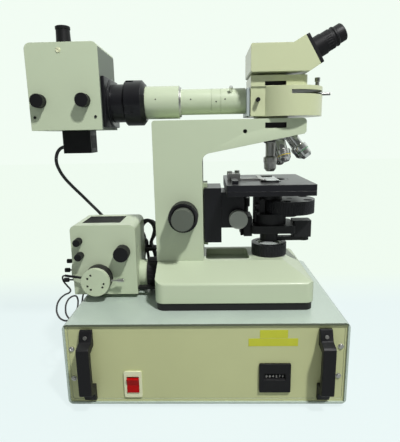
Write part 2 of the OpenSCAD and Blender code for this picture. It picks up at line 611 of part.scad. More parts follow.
module condenser_body() color("dimgray") {
  difference() {
    union() {
      rod_z(stage_z - 61.1, stage_z - 41.4, axis_x, 0, 30);
      prism_z(stage_z - 49, stage_z - 41.4) rrect(axis_x, turret_x + 14, -14, 14, 13);
      rod_z(stage_z - 16.6, stage_z - 7, axis_x, 0, 22.5);
      rod_z(stage_z - 8, stage_z - 1, axis_x, 0, 12);
      box(114, 132.4, -16, 16, stage_z - 57, stage_z - 11);
      for (p = [[126, stage_z - 16.5], [118, stage_z - 26]]) rod_y(-28, -15, p[0], p[1], 3.5);
      rod_y(-38, -15, 118, stage_z - 37, 3);
    }
    rod_z(stage_z - 62, stage_z + 1, axis_x, 0, 9);
    rod_z(stage_z - 62, stage_z - 51, axis_x, 0, 17);
  }
  rod_z(stage_z - 42, stage_z - 17.6, turret_x, 0, 5);
}
module condenser_turret() color("black") difference() {
  rod_z(stage_z - 41, stage_z - 17, turret_x, 0, turret_r);
  rod_z(stage_z - 42, stage_z - 16, turret_x, 0, 5 + fit);
  for (i = [0 : 4]) translate([turret_x, 0, 0]) rotate([0, 0, 180 + i * 72])
      rod_z(stage_z - 42, stage_z - 16, 35.5, 0, 8);
  for (i = [0 : 59]) translate([turret_x, 0, 0]) rotate([0, 0, i * 6])
      rod_z(stage_z - 38, stage_z - 20, turret_r + 0.4, 0, 1);
}
module aux_lens_arm() color("dimgray") {
  // post under the carrier's plate, arm and lens barrel
  difference() {
    union() {
      rod_z(stage_z - 94, stage_z - 75.4, axis_x, 0, 16.5);
      prism_z(stage_z - 94, stage_z - 87) rrect(axis_x, swing_x + 10, -7, 7, 6);
      rod_z(stage_z - 94, stage_z - 86.4, swing_x, 0, 9);
    }
    rod_z(stage_z - 95, stage_z - 75, axis_x, 0, 12);
    rod_z(stage_z - 95, stage_z - 85, swing_x, 0, 3 + fit);
  }
}

// Nosepiece
module nosepiece() color("black") difference() {
  on_nose() rotate_extrude() polygon([[0, 36], [28.5, 36], [30.5, 38], [30.5, 50.7], [6, 59.6], [0, 59.6]]);
  on_nose() translate([0, 0, 35]) cylinder(r = 5 + fit, h = 15);
  for (k = [0 : 4]) on_objective(k) {
    // light hole, thread bore and flat seat
    translate([0, 0, 36]) cylinder(r = 7, h = 20);
    translate([0, 0, seat_s - 4.5]) cylinder(r = 10.16, h = 20);
    translate([0, 0, seat_s]) cylinder(r = 11.2, h = 20);
  }
  on_nose() for (i = [0 : 47]) rotate([0, 0, i * 7.5]) translate([30.9, 0, 38.5]) cylinder(r = 0.9, h = 8);
}
module objective(k, lens, r) {
  on_objective(k) difference() {
    rotate_extrude() polygon([[0, seat_s - 4], [10.1, seat_s - 4], [10.1, seat_s], [11, seat_s],
      [11, seat_s + 3], [r - 3, seat_s + 3], [r - 3, seat_s + lens * 0.5], [r, seat_s + lens * 0.5 + 1],
      [r, seat_s + lens * 0.7], [r - 1.4, seat_s + lens * 0.7 + 1], [r - 1.4, seat_s + lens * 0.9],
      [r - 5, seat_s + lens], [0, seat_s + lens]]);
    translate([0, 0, seat_s - 5]) cylinder(r = 6, h = lens * 0.8);
  }
}
module objectives() color("silver") {
  objective(0, 52.2, 12);
  objective(1, 50, 11.5);
  objective(2, 51, 11.5);
  objective(3, 49, 11.5);
  objective(4, 41, 11.5);
}

// Lamp house beside the base
module lamp_clamp() color("black") {
  difference() {
    union() {
      rod_x(-83, base_x0, 0, lamp_axis_z, 30);
      box(-98, base_x0, -40, -30, lamp_z0 + 7, lamp_z0 + 12);
      box(-83, base_x0, -31, 0, lamp_z0 + 7, lamp_z0 + 12);
    }
    rod_x(-84, base_x0 + 1, 0, lamp_axis_z, 18);
    rod_x(-84, -73, 0, lamp_axis_z, 20);
    for (i = [0 : 23]) translate([0, 0, lamp_axis_z]) rotate([i * 15, 0, 0]) rod_x(-80, -64, 0, 30.4, 1.3);
  }
}
module lamp_housing() color("beige") {
  difference() {
    union() {
      prism_y(lamp_y0, lamp_y1) round_top(lamp_x0, lamp_x1, lamp_z0, lamp_z1, 10);
      rod_x(lamp_x0 - 9, lamp_x0, -3, lamp_z0 + 34, 25);
    }
    prism_y(lamp_y0 + house_wall, lamp_y1 - house_wall)
      round_top(lamp_x0 + house_wall, lamp_x1 - house_wall, lamp_z0 + house_wall, lamp_z1 - house_wall, 8);
    box(lamp_x0 + 16, lamp_x1 - 30, -24, 36, lamp_z1 - 1, lamp_z1 + 1);
    for (i = [0 : 16]) box(lamp_x0 + 17 + i * 4, lamp_x0 + 19.6 + i * 4, -23, 35, lamp_z1 - 4, lamp_z1);
    rod_y(lamp_y0 - 1, lamp_y0 + 4, socket_x, socket_z, 20);
    rod_x(lamp_x1 - 4, lamp_x1 + 1, 0, lamp_axis_z, 17);
    for (i = [0 : 3])
      prism_x(lamp_x1 - 4, lamp_x1 + 1) slot(-34 + i * 7, -30.6 + i * 7, lamp_z0 + 50, lamp_z0 + 84);
    for (p = [[15, 100, 2], [16, 74, 2], [92, 79.5, 3]])
      rod_y(lamp_y0 - 1, lamp_y0 + 4, lamp_x0 + p[0], lamp_z0 + p[1], p[2] + fit);
    for (p = [[3.5, 48.3], [-10.7, 35.1], [-20, 19]])
      rod_x(lamp_x0 - 10, lamp_x0 - 1, p[0], lamp_z0 + p[1], 1.5 + fit);
  }
  // sleeve towards the clamp
  difference() {
    rod_x(lamp_x1, -83, 0, lamp_axis_z, 25);
    rod_x(lamp_x1 - 1, -82, 0, lamp_axis_z, 17);
  }
}
module lamp_knob_upper() color("black") {
  knob_y_axis(lamp_x0 + 15, lamp_z0 + 100, -62, lamp_y0 - 0.3, 6.6, 16);
  rod_y(-46, lamp_y0 + 8, lamp_x0 + 15, lamp_z0 + 100, 2);
}
module lamp_knob_lower() color("black") {
  knob_y_axis(lamp_x0 + 16, lamp_z0 + 74, -62, lamp_y0 - 0.3, 6.6, 16);
  rod_y(-46, lamp_y0 + 8, lamp_x0 + 16, lamp_z0 + 74, 2);
}
module lamp_knob_focus() color("black") {
  knob_y_axis(lamp_x0 + 92, lamp_z0 + 79.5, -66, lamp_y0 - 0.3, 13.3, 28);
  rod_y(-46, lamp_y0 + 8, lamp_x0 + 92, lamp_z0 + 79.5, 3);
}
module lamp_socket() color("beige") {
  difference() {
    union() {
      rod_y(-70, -62, socket_x, socket_z, socket_r);
      rod_y(-62, lamp_y0, socket_x + 1.5, socket_z + 1.5, socket_r - 0.5);
      rod_y(lamp_y0, -8, socket_x, socket_z, 19.8);
    }
    for (a = [150, 118, 205, 237, -8, -34])
      rod_y(-71, -64, socket_x + 15 * cos(a), socket_z + 15 * sin(a), 1.9);
    translate([socket_x + socket_r - 7, -58, socket_z]) rotate([0, 90, 0]) cylinder(r = 1.6, h = 12);
    for (s = [-4, 4]) rod_y(-22, -7, socket_x + s, socket_z, 1.2);
  }
  translate([socket_x - 20, -57, socket_z + 4]) rotate([0, -90, 0])
    multmatrix([[1, 0, 0.075, 0], [0, 1, 0.18, 0], [0, 0, 1, 0], [0, 0, 0, 1]])
      cylinder(r = 2.4, h = 38.5, $fn = 8);
}
module lamps() color("white") {
  // halogen capsule and its pins
  rod_y(-8, 8, socket_x, socket_z, 5.5);
  for (s = [-4, 4]) rod_y(-21, -8, socket_x + s, socket_z, 0.8);
  // mercury burner between its two end caps
  translate([-205, 0, tube_z]) sphere(r = 8);
  rod_z(tube_z - 42, tube_z - 6, -205, 0, 3.6);
  rod_z(tube_z + 6, tube_z + 34, -205, 0, 3.6);
}
module mirror_knob(y, z) {
  rod_x(lamp_x0 - 27, lamp_x0 - 18, y, z, 4.2);
  rod_x(lamp_x0 - 18, lamp_x0 - 1.5, y, z, 1.5);
}
module mirror_knob_top() color("black") mirror_knob(3.5, lamp_z0 + 48.3);
module mirror_knob_mid() color("black") mirror_knob(-10.7, lamp_z0 + 35.1);
module mirror_knob_low() color("black") mirror_knob(-20, lamp_z0 + 19);

// Arc lamp house
module arc_housing() color("beige") {
  difference() {
    prism_y(arc_y0, arc_y1) round_top(arc_x0, arc_x1, arc_z0, arc_z1, 10);
    prism_y(arc_y0 + 3, arc_y1 - 3) round_top(arc_x0 + 3, arc_x1 - 3, arc_z0 + 3, arc_z1 - 3, 7);
    rod_x(arc_x1 - 4, arc_x1 + 1, 0, tube_z, 26);
    rod_z(arc_z0 - 1, arc_z0 + 4, -205, 0, 14);
    for (i = [0 : 7]) prism_z(arc_z1 - 4, arc_z1 + 1) slot(-188 + i * 5, -185.6 + i * 5, -34, 34);
    for (x = [-239.5, -167.5]) rod_y(arc_y0 - 1, arc_y0 + 4, x, tube_z + 2, 3 + fit);
    rod_z(arc_z1 - 4, arc_z1 + 1, -211, 0, 9);
  }
}
module arc_knob(x) {
  knob_y_axis(x, tube_z + 2, arc_y0 - 15.5, arc_y0 - 0.3, 11, 24);
  rod_y(arc_y0 - 1, arc_y0 + 9, x, tube_z + 2, 3);
}
module arc_knob_left() color("black") arc_knob(-239.5);
module arc_knob_right() color("black") arc_knob(-167.5);
module arc_socket() color("black") {
  difference() {
    prism_z(arc_z0 - 39, arc_z0) rrect(-220, -171, -22, 21, 3);
    for (y = [-14 : 7 : 14]) box(-178, -170, y - 1.5, y + 1.5, arc_z0 - 31, arc_z0 - 9);
  }
  rod_z(arc_z0, tube_z - 41.9, -205, 0, 7);
  // upper cap in the roof, with the arm that holds the burner's top end
  translate([-211, 0, arc_z1]) rotate_extrude() polygon([[0, 0], [14, 0], [14, 3], [12.5, 4],
    [11.6, 30], [12.5, 31], [12.5, 35], [11, 36], [0, 36]]);
  rod_z(tube_z + 40, arc_z1, -211, 0, 9);
  rod_z(tube_z + 33.9, tube_z + 44, -205, 0, 5);
}
module collector() color("black") difference() {
  translate([arc_x1, 0, tube_z]) rotate([0, 90, 0]) rotate_extrude() polygon([[18, 0], [40.5, 0],
    [40.5, 7], [38, 9], [32, 9], [32, 31], [36, 31], [38, 33], [38, 60], [31, 66], [18, 66]]);
  rod_x(-127, -119.9, 0, tube_z, 20);
  for (s = [0, 90, 180, 270]) translate([-100, 0, tube_z]) rotate([s + 20, 0, 0])
    translate([0, 0, 38]) cube([13, 13, 5], center = true);
}
module light_tube() color("beige") difference() {
  union() {
    rod_x(-74, -16, 0, tube_z, 27.5);
    rod_x(-16, -13, 0, tube_z, 25);
    rod_x(-13, 97, 0, tube_z, 21.5);
    box(97, 101.5, -38, 38, tube_z - 27, tube_z + 18);
    box(101, 103, -34, 34, tube_z - 24, tube_z + 16);
  }
  rod_x(-75, 104, 0, tube_z, 16);
  for (x = [38, 54]) translate([x, 0, tube_z]) rotate([0, 90, 0]) difference() {
    cylinder(r = 23, h = 0.8);
    translate([0, 0, -1]) cylinder(r = 21.1, h = 3);
  }
  translate([72, 0, tube_z]) rotate([45, 0, 0]) cylinder(r = 1.5 + fit, h = 25);
}
module tube_screw() color("silver") translate([72, 0, tube_z]) rotate([45, 0, 0]) {
  translate([0, 0, 17]) cylinder(r = 1.5, h = 6);
  translate([0, 0, 22]) cylinder(r = 3.2, h = 9);
}

// Filter drum
module epi_housing() color("beige") {
  difference() {
    union() {
      box(103, 150, -40, 40, drum_z0 + 0.8, drum_z1);
      rod_z(drum_z0, drum_z1, drum_x, 0, drum_r);
      rod_z(arm_z1, drum_z0 + 2, axis_x, 0, 30);
    }
    rod_z(drum_z0 + 5, drum_z1 - 5, drum_x, 0, drum_r - 2.4);
    rod_z(arm_z1 - 1, drum_z1 + 1, axis_x, 0, 11);
    rod_x(102, 140, 0, tube_z, 14);
    // slot in which the carousel's lever swings
    intersection() {
      translate([drum_x, 0, lever_z - 3.1]) difference() {
        cylinder(r = drum_r + 1, h = 6.2);
        translate([0, 0, -1]) cylinder(r = drum_r - 5, h = 9);
      }
      translate([drum_x, 0, lever_z - 8]) rotate([0, 0, -93]) rotate_extrude(angle = 186)
        translate([drum_r - 15, 0]) square([25, 16]);
    }
    rod_y(-41, -34, 114.5, arm_z1 + 30, 1.5 + fit);
    rod_z(drum_z1 - 4, drum_z1 + 1, screw_x, 0, 2 + fit);
  }
  rod_z(drum_z0 + 4, drum_z1 - 4, drum_x, 0, 5);
}
module filter_turret() color("dimgray") difference() {
  union() {
    translate([drum_x, 0, drum_z0 + 5.4]) cylinder(r = drum_r - 2.8, h = 3.6);
    rod_z(drum_z0 + 5.4, lever_z + 3, drum_x, 0, 9);
    // filter cubes round the hub, one of them on the optical axis
    for (i = [1 : 3]) translate([drum_x, 0, 0]) rotate([0, 0, i * 90])
      box(13.6, 40.6, -12, 12, drum_z0 + 8, lever_z - 6);
    translate([drum_x, 0, 0]) rod_x(6, drum_r + 1, 0, lever_z, 2);
    translate([drum_x, 0, 0]) rod_x(drum_r, drum_r + 15.1, 0, lever_z, 2.6);
  }
  rod_z(drum_z0 + 5, lever_z + 4, drum_x, 0, 5 + fit);
  for (i = [1 : 3]) translate([drum_x, 0, 0]) rotate([0, 0, i * 90])
    rod_z(drum_z0 + 4, lever_z - 5, drum_x - axis_x, 0, 8);
}
module drum_screw() color("silver") {
  rod_z(drum_z1 - 3.6, drum_z1 + 4, screw_x, 0, 2);
  rod_z(drum_z1 + 2.5, drum_z1 + 11, screw_x, 0, 3.4);
  rod_z(drum_z1 + 10.5, drum_z1 + 17, screw_x, 0, 4.6);
}
module epi_knob() color("black") {
  rod_y(-50, -40.3, 114.5, arm_z1 + 30, 3.5);
  rod_y(-41, -34.4, 114.5, arm_z1 + 30, 1.5);
}
module intermediate() color("beige") difference() {
  union() {
    prism_z(drum_z1, head_z - 4) {
      rrect(103, 196, -42, 42, 10);
      translate([103, -42]) square([20, 84]);
    }
    rod_z(head_z - 5, head_z - 0.05, axis_x, 0, 27);
    rod_z(head_z - 5, head_z + 4, axis_x, 0, 24);
  }
  rod_z(drum_z1 - 1, head_z + 5, axis_x, 0, 13);
  prism_y(-43, -34) rrect(axis_x - 16.5, axis_x + 17.5, drum_z1 + 1.5, drum_z1 + 8, 0.8);
}

// Head
module head_housing() color("beige") difference() {
  union() {
    prism_y(-52, 52) polygon([[102, head_z + 2], [104, head_z], [196, head_z], [212.5, head_z + 10.5],
      [187.5, head_z + 53.8],
      [168, head_z + 42.5], [166, head_z + 43], [104, head_z + 43], [102, head_z + 41]]);
    translate([eye_x, 0, eye_z]) rotate([0, 90 - eye_tilt, 0])
      prism_z(-6.5, 0) rrect(-25, 25, -50, 50, 3);
  }
  rod_z(head_z - 1, head_z + 5, axis_x, 0, 24 + fit);
  prism_y(-46, 46) polygon([[108, head_z + 8], [190, head_z + 8], [200, head_z + 13],
    [184, head_z + 41], [168, head_z + 32], [108, head_z + 37]]);
  rod_z(head_z, head_z + 9, axis_x, 0, 13);
  for (s = [-1, 1]) on_eye(s) prism_z(-4.2, 1) {
    for (d = [-6, 6]) translate([0, d]) circle(9 + fit);
    translate([-9 - fit, -6]) square([18 + 2 * fit, 12]);
  }
}
module eye_tube(side) on_eye(side) difference() {
  union() {
    translate([0, 0, fit]) cylinder(r = 17, h = 15.5);
    translate([0, 0, -4]) cylinder(r = 9, h = 5);
  }
  translate([0, 0, -5]) cylinder(r = 7, h = 8);
  translate([0, 0, 2]) cylinder(r = eye_bore, h = 20);
}
module tube_near() color("black") eye_tube(-1);
module tube_far() color("black") eye_tube(1);
module eyepiece(side) on_eye(side) difference() {
  rotate_extrude() polygon([[8, 3], [eye_bore - fit, 3], [eye_bore - fit, 15.9], [16, 15.9], [16, 30],
    [15, 31.5], [15, 34], [16, 35], [16, 37], [14.3, 39], [14.3, eye_len - 1.5], [13, eye_len], [9, eye_len],
    [9, eye_len - 3], [8, eye_len - 3]]);
  for (i = [0 : 23]) rotate([0, 0, i * 15]) translate([16.4, 0, 19]) cylinder(r = 0.9, h = 9);
}
module eyepiece_near() color("black") eyepiece(-1);
module eyepiece_far() color("black") eyepiece(1);

// Leads
module arc_cord() color("black") {
  lead(arc_route, 3);
  lead(back_route, 3);
}
module lamp_cord() color("black") lead(lamp_route, 1.5);
// The arc lamp's spare lead, tied in the middle, as its outer shape
module cord_hank() color("black") prism_y(54, 77) {
  rrect(-108, -74, 230, 275, 15);
  rrect(-105, -77, 148.2, 206, 12);
  translate([-101, 196]) square([20, 46]);
}

supply_case();
supply_panel();
rubber_feet();
rack_handles();
screws();
switch_rocker();
hour_meter();
power_pack();
base_plate();
base_casting();
arm();
focus_coarse();
focus_fine();
field_ring();
fixed_optics();
stage_carriage();
stage_plate();
stage_top();
slide_holder();
holder_finger();
glass_slide();
stage_knob_x();
stage_knob_y();
condenser_carrier();
condenser_knob();
condenser_body();
condenser_turret();
aux_lens_arm();
nosepiece();
objectives();
lamp_clamp();
lamp_housing();
lamp_knob_upper();
lamp_knob_lower();
lamp_knob_focus();
lamp_socket();
lamps();
mirror_knob_top();
mirror_knob_mid();
mirror_knob_low();
arc_housing();
arc_knob_left();
arc_knob_right();
arc_socket();
collector();
light_tube();
tube_screw();
epi_housing();
filter_turret();
drum_screw();
epi_knob();
intermediate();
head_housing();
tube_near();
tube_far();
eyepiece_near();
eyepiece_far();
arc_cord();
lamp_cord();
cord_hank();
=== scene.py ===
import json
from math import cos, hypot, pi, radians, sin

import bmesh
import bpy
from mathutils import Matrix, Vector


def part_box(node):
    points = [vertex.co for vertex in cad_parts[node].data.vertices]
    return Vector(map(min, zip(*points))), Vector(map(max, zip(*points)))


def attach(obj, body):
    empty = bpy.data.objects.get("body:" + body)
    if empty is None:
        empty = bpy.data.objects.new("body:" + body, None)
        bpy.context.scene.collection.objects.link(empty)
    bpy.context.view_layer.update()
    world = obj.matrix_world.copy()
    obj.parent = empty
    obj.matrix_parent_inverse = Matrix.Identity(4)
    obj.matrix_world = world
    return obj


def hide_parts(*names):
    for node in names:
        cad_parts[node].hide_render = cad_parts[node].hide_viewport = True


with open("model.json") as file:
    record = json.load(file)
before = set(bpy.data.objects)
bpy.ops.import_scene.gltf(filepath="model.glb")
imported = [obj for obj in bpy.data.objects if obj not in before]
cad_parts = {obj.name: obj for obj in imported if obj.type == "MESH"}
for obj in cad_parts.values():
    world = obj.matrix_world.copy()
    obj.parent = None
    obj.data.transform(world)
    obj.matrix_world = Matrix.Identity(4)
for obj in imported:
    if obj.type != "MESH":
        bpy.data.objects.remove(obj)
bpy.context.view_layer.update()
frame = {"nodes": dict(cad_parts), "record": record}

# Camera. It stands in front of the supply, at about the height of the arm's top,
# and looks 12 degrees down on the object.
eye_point = Vector((0.0357, -0.7335, 0.4360))
yaw, pitch, roll = radians(-1.59), radians(12.01), radians(-1.07)
ahead = Vector((sin(yaw) * cos(pitch), cos(yaw) * cos(pitch), -sin(pitch)))
level = Vector((cos(yaw), -sin(yaw), 0))
right = cos(roll) * level + sin(roll) * level.cross(ahead)
upward = -sin(roll) * level + cos(roll) * level.cross(ahead)
focal_px, picture_px = 406, 442
camera_data = bpy.data.cameras.new("camera")
camera_data.sensor_width = 36
camera_data.lens = camera_data.sensor_width * focal_px / picture_px
camera = bpy.data.objects.new("camera", camera_data)
camera.matrix_world = Matrix.Translation(eye_point) @ Matrix((right, upward, -ahead)).transposed().to_4x4()
bpy.context.scene.collection.objects.link(camera)
bpy.context.scene.camera = camera


# Surface effects. One node group holds what every finish shares: a fine grain,
# blotches, worn edges and dust on top. Each material sets its own values.
def add(tree, kind, values=None, **settings):
    """A shader node. A value that is a socket is linked, any other is set."""
    node = tree.nodes.new("ShaderNode" + kind)
    for key, value in settings.items():
        setattr(node, key, value)
    for key, value in (values or {}).items():
        if isinstance(value, bpy.types.NodeSocket):
            tree.links.new(value, node.inputs[key])
        else:
            node.inputs[key].default_value = value
    return node


def new_group(name, inputs, outputs):
    """An empty node group with its sockets: {name: default} and [(name, type)]."""
    tree = bpy.data.node_groups.new(name, "ShaderNodeTree")
    for label, default in inputs.items():
        kind = "NodeSocketColor" if isinstance(default, tuple) else "NodeSocketFloat"
        tree.interface.new_socket(label, in_out="INPUT", socket_type=kind).default_value = default
    for label, kind in outputs:
        tree.interface.new_socket(label, in_out="OUTPUT", socket_type="NodeSocket" + kind)
    return tree, tree.nodes.new("NodeGroupInput").outputs, tree.nodes.new("NodeGroupOutput").inputs


def spread(tree, value, low, high, start=0.3, end=0.7):
    """A value between start and end, spread over low to high."""
    return add(tree, "MapRange", {0: value, 1: start, 2: end, 3: low, 4: high}).outputs[0]


def times(tree, a, b):
    """The product of two values."""
    return add(tree, "Math", {0: a, 1: b}, operation="MULTIPLY").outputs[0]


def mixed(tree, factor, a, b, blend="MIX"):
    """Two colours mixed by a factor."""
    node = add(tree, "Mix", {0: factor, 6: a, 7: b}, data_type="RGBA", blend_type=blend)
    return node.outputs[2]


skin, given, result = new_group(
    "surface_finish",
    {
        "Colour": (0.5, 0.5, 0.5, 1),
        "Worn Colour": (0.5, 0.5, 0.5, 1),
        "Wear": 0.3,
        "Mottle": 0.1,
        "Patch Size": 25.0,
        "Dust": 0.1,
        "Roughness": 0.5,
        "Rough Spread": 0.1,
        "Grain Size": 1500.0,
        "Grain Depth": 0.00002,
        "Edge Radius": 0.0006,
        "Extra Height": 0.0,
        "Extra Depth": 0.0,
    },
    [("Colour", "Color"), ("Roughness", "Float"), ("Normal", "Vector")],
)
on_piece = add(skin, "TexCoord").outputs["Object"]
facing = add(skin, "NewGeometry").outputs["Normal"]
rounded = add(skin, "Bevel", {"Radius": given["Edge Radius"]}, samples=4).outputs[0]


def skin_noise(scale, detail):
    """Noise on the piece's own coordinates."""
    return add(skin, "TexNoise", {"Vector": on_piece, "Scale": scale, "Detail": detail}).outputs[0]


patches = skin_noise(given["Patch Size"], 4.0)
chips = skin_noise(260.0, 5.0)
grain = skin_noise(given["Grain Size"], 2.0)

# Paint wears on edges, where the rounded normal turns away from the flat one.
turned = add(skin, "VectorMath", {0: rounded, 1: facing}, operation="DOT_PRODUCT").outputs["Value"]
edge = spread(skin, turned, 1.0, 0.0, 0.86, 0.995)
worn = times(skin, times(skin, edge, given["Wear"]), spread(skin, chips, 0.0, 1.6, 0.42, 0.6))
bare = add(skin, "Clamp", {0: worn}).outputs[0]

# Dust settles on faces that look up.
dust_grey = (0.56, 0.56, 0.52, 1)
blotch = mixed(skin, given["Mottle"], given["Colour"], spread(skin, patches, 0.55, 1.0), "MULTIPLY")
up = add(skin, "SeparateXYZ", {0: facing}).outputs["Z"]
settled = times(skin, spread(skin, up, 0.0, 1.0, 0.3, 0.95), spread(skin, patches, 0.2, 1.0))
dusty = mixed(skin, times(skin, settled, given["Dust"]), blotch, dust_grey)

# The patches vary the gloss too, and the grain and a finish's own relief add up.
rough = add(skin, "Math", {0: patches, 1: given["Rough Spread"], 2: given["Roughness"]},
            operation="MULTIPLY_ADD")
fine = add(skin, "Bump", {"Height": grain, "Distance": given["Grain Depth"], "Normal": rounded})
coarse = add(skin, "Bump", {"Height": given["Extra Height"], "Distance": given["Extra Depth"],
                            "Normal": fine.outputs[0]})
skin.links.new(mixed(skin, bare, dusty, given["Worn Colour"]), result["Colour"])
skin.links.new(rough.outputs[0], result["Roughness"])
skin.links.new(coarse.outputs[0], result["Normal"])


def new_finish(name, colour, metallic=0.0, coat=0.0, specular=0.5, worn_colour=None, height=None, **values):
    """A material on the shared finish. Colours are linear; height is (node tree function)."""
    material = bpy.data.materials.new(name)
    material.use_nodes = True
    tree = material.node_tree
    shader = tree.nodes["Principled BSDF"]
    shader.inputs["Metallic"].default_value = metallic
    shader.inputs["Coat Weight"].default_value = coat
    shader.inputs["Coat Roughness"].default_value = 0.12
    shader.inputs["Specular IOR Level"].default_value = specular
    group = tree.nodes.new("ShaderNodeGroup")
    group.node_tree = skin
    group.inputs["Colour"].default_value = (*colour, 1)
    group.inputs["Worn Colour"].default_value = (*(worn_colour or colour), 1)
    for label, value in values.items():
        group.inputs[label.replace("_", " ").title()].default_value = value
    if height:
        tree.links.new(height(tree), group.inputs["Extra Height"])
    tree.links.new(group.outputs["Colour"], shader.inputs["Base Color"])
    tree.links.new(group.outputs["Roughness"], shader.inputs["Roughness"])
    tree.links.new(group.outputs["Normal"], shader.inputs["Normal"])
    return material


# Leads. The arc lamp's lead leaves its socket box, swings behind the halogen
# lamp house, is tied there in a hank and goes to the outlet on the supply's back.
# It is black rubber of 6 mm; the halogen lamp's lead is thin soft PVC of 3 mm.
lead_rubber = new_finish(
    "lead_rubber", (0.018, 0.018, 0.02), worn_colour=(0.05, 0.05, 0.05), mottle=0.35, dust=0.06,
    roughness=0.42, rough_spread=0.12, grain_size=900.0, grain_depth=0.00004, edge_radius=0.0)


def mm(points):
    """Points given in millimetres."""
    return [Vector(p) / 1000 for p in points]


def new_lead(name, points, radius):
    """A round lead as one open spline through the points."""
    curve = bpy.data.curves.new(name, "CURVE")
    curve.dimensions = "3D"
    curve.bevel_depth = radius
    curve.bevel_resolution = 5
    curve.resolution_u = 5
    curve.use_fill_caps = True
    spline = curve.splines.new("BEZIER")
    spline.bezier_points.add(len(points) - 1)
    for knot, point in zip(spline.bezier_points, points):
        knot.co = point
        knot.handle_left_type = knot.handle_right_type = "AUTO"
    lead = bpy.data.objects.new(name, curve)
    bpy.context.scene.collection.objects.link(lead)
    curve.materials.append(lead_rubber)
    return lead


arc_route_down = mm([
    (-220, 0, 419), (-229, 1, 418), (-237, 3, 413), (-243, 6, 404), (-246, 10, 392), (-245, 17, 378),
    (-240, 26, 362), (-230, 37, 344), (-217, 48, 325), (-203, 58, 305), (-189, 66, 286), (-175, 72, 266),
    (-160, 75, 248), (-143, 75, 235), (-124, 72, 228), (-108, 68, 226)])
hank_turn = [
    (-96, 222), (-101, 205), (-104, 185), (-103, 168), (-98, 157), (-91, 153), (-84, 157), (-79, 168),
    (-78, 185), (-81, 205), (-87, 222), (-81, 238), (-77, 253), (-82, 266), (-92, 271), (-103, 265),
    (-107, 251), (-102, 236)]
arc_route_back = mm([
    (-91, 75, 152), (-92, 84, 151), (-95, 98, 151), (-100, 114, 151), (-107, 132, 151), (-114, 150, 151),
    (-119, 166, 151), (-120, 179, 150), (-120, 190, 145), (-120, 198, 136), (-120, 201, 125),
    (-120, 198, 113), (-120, 190, 103), (-120, 180, 99), (-120, 164, 98)])

# Three turns of the hank lie behind each other, and fan out above the tie.
nearest_turn, turn_pitch = 58.5, 6.5
tie_top, turn_top = 222, 271
hank = []
for layer, lean in enumerate((0, -4, 3)):
    for x, z in hank_turn:
        opened = max(0, (z - tie_top) / (turn_top - tie_top))
        hank.append((x + lean * opened, nearest_turn + layer * turn_pitch, z - 2 * layer * opened))
arc_lead_r, lamp_lead_r = 0.003, 0.0015
arc_lead = new_lead("arc_lead", arc_route_down + mm(hank) + arc_route_back, arc_lead_r)
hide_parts("arc_cord", "cord_hank")
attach(arc_lead, "stand")


def linked(name, shape, materials, sharp=30):
    """An object from a finished bmesh, shaded smooth with its creases kept."""
    mesh = bpy.data.meshes.new(name)
    shape.to_mesh(mesh)
    shape.free()
    for material in materials:
        mesh.materials.append(material)
    mesh.shade_smooth()
    mesh.set_sharp_from_angle(angle=radians(sharp))
    piece = bpy.data.objects.new(name, mesh)
    bpy.context.scene.collection.objects.link(piece)
    return piece


def new_piece(name, shape, material, body="stand"):
    """A piece from a bmesh that is already in its place, riding a body."""
    piece = linked(name, shape, [material])
    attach(piece, body)
    return piece


def new_pin(name, foot, way, radius, top_radius, length, material, body="stand"):
    """A small round pin or cone from its foot along a direction, in millimetres."""
    shape = bmesh.new()
    bmesh.ops.create_cone(shape, cap_ends=True, segments=24, radius1=radius / 1000,
                          radius2=top_radius / 1000, depth=length / 1000)
    bmesh.ops.translate(shape, vec=(0, 0, length / 2000), verts=shape.verts)
    turn = Vector(way).to_track_quat("Z", "Y").to_matrix().to_4x4()
    shape.transform(Matrix.Translation(Vector(foot) / 1000) @ turn)
    return new_piece(name, shape, material, body)


# A rubber band ties the hank, and a moulded plug ends the lead in its outlet.
tie = bmesh.new()
bmesh.ops.create_circle(tie, segments=32, radius=1.0, cap_ends=False)
bmesh.ops.scale(tie, vec=(0.0158, 0.0125, 1), verts=tie.verts)
drawn = bmesh.ops.extrude_edge_only(tie, edges=tie.edges[:])["geom"]
top_rim = [v for v in drawn if isinstance(v, bmesh.types.BMVert)]
bmesh.ops.translate(tie, vec=(0, 0, 0.007), verts=top_rim)
bmesh.ops.translate(tie, vec=(-0.091, 0.0652, 0.208), verts=tie.verts)
tie_band = new_piece("hank_tie", tie, lead_rubber)
tie_wall = tie_band.modifiers.new("wall", "SOLIDIFY")
tie_wall.thickness = 0.0012
new_pin("arc_plug", (-120, 168.5, 98), (0, 1, 0.03), radius=7.6, top_radius=5, length=14,
        material=lead_rubber)

lamp_route = mm([
    (-226, -50, 194), (-231, -47, 192), (-234, -43, 186), (-233, -40, 178), (-228, -39, 170),
    (-222, -42, 164), (-221, -50, 162), (-226, -62, 162), (-231, -74, 158), (-232, -86, 150),
    (-228, -95, 140), (-220, -98, 132), (-212, -93, 128), (-207, -82, 129), (-205, -68, 134),
    (-206, -54, 142), (-210, -43, 148), (-216, -37, 150), (-223, -41, 149), (-227, -51, 144),
    (-226, -63, 136), (-221, -72, 127), (-213, -74, 120), (-207, -67, 117), (-205, -55, 120),
    (-205, -42, 128), (-206, -30, 138), (-206, -18, 147), (-201, -6, 151), (-190, 6, 151),
    (-176, 20, 150), (-158, 32, 150), (-138, 39, 150), (-118, 42, 150), (-102, 43, 150),
    (-90, 45, 152), (-80, 49, 158), (-72, 54, 166), (-66, 57, 172), (-58, 58, 175)])
lamp_lead = new_lead("lamp_lead", lamp_route, lamp_lead_r)
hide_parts("lamp_cord")
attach(lamp_lead, "stand")


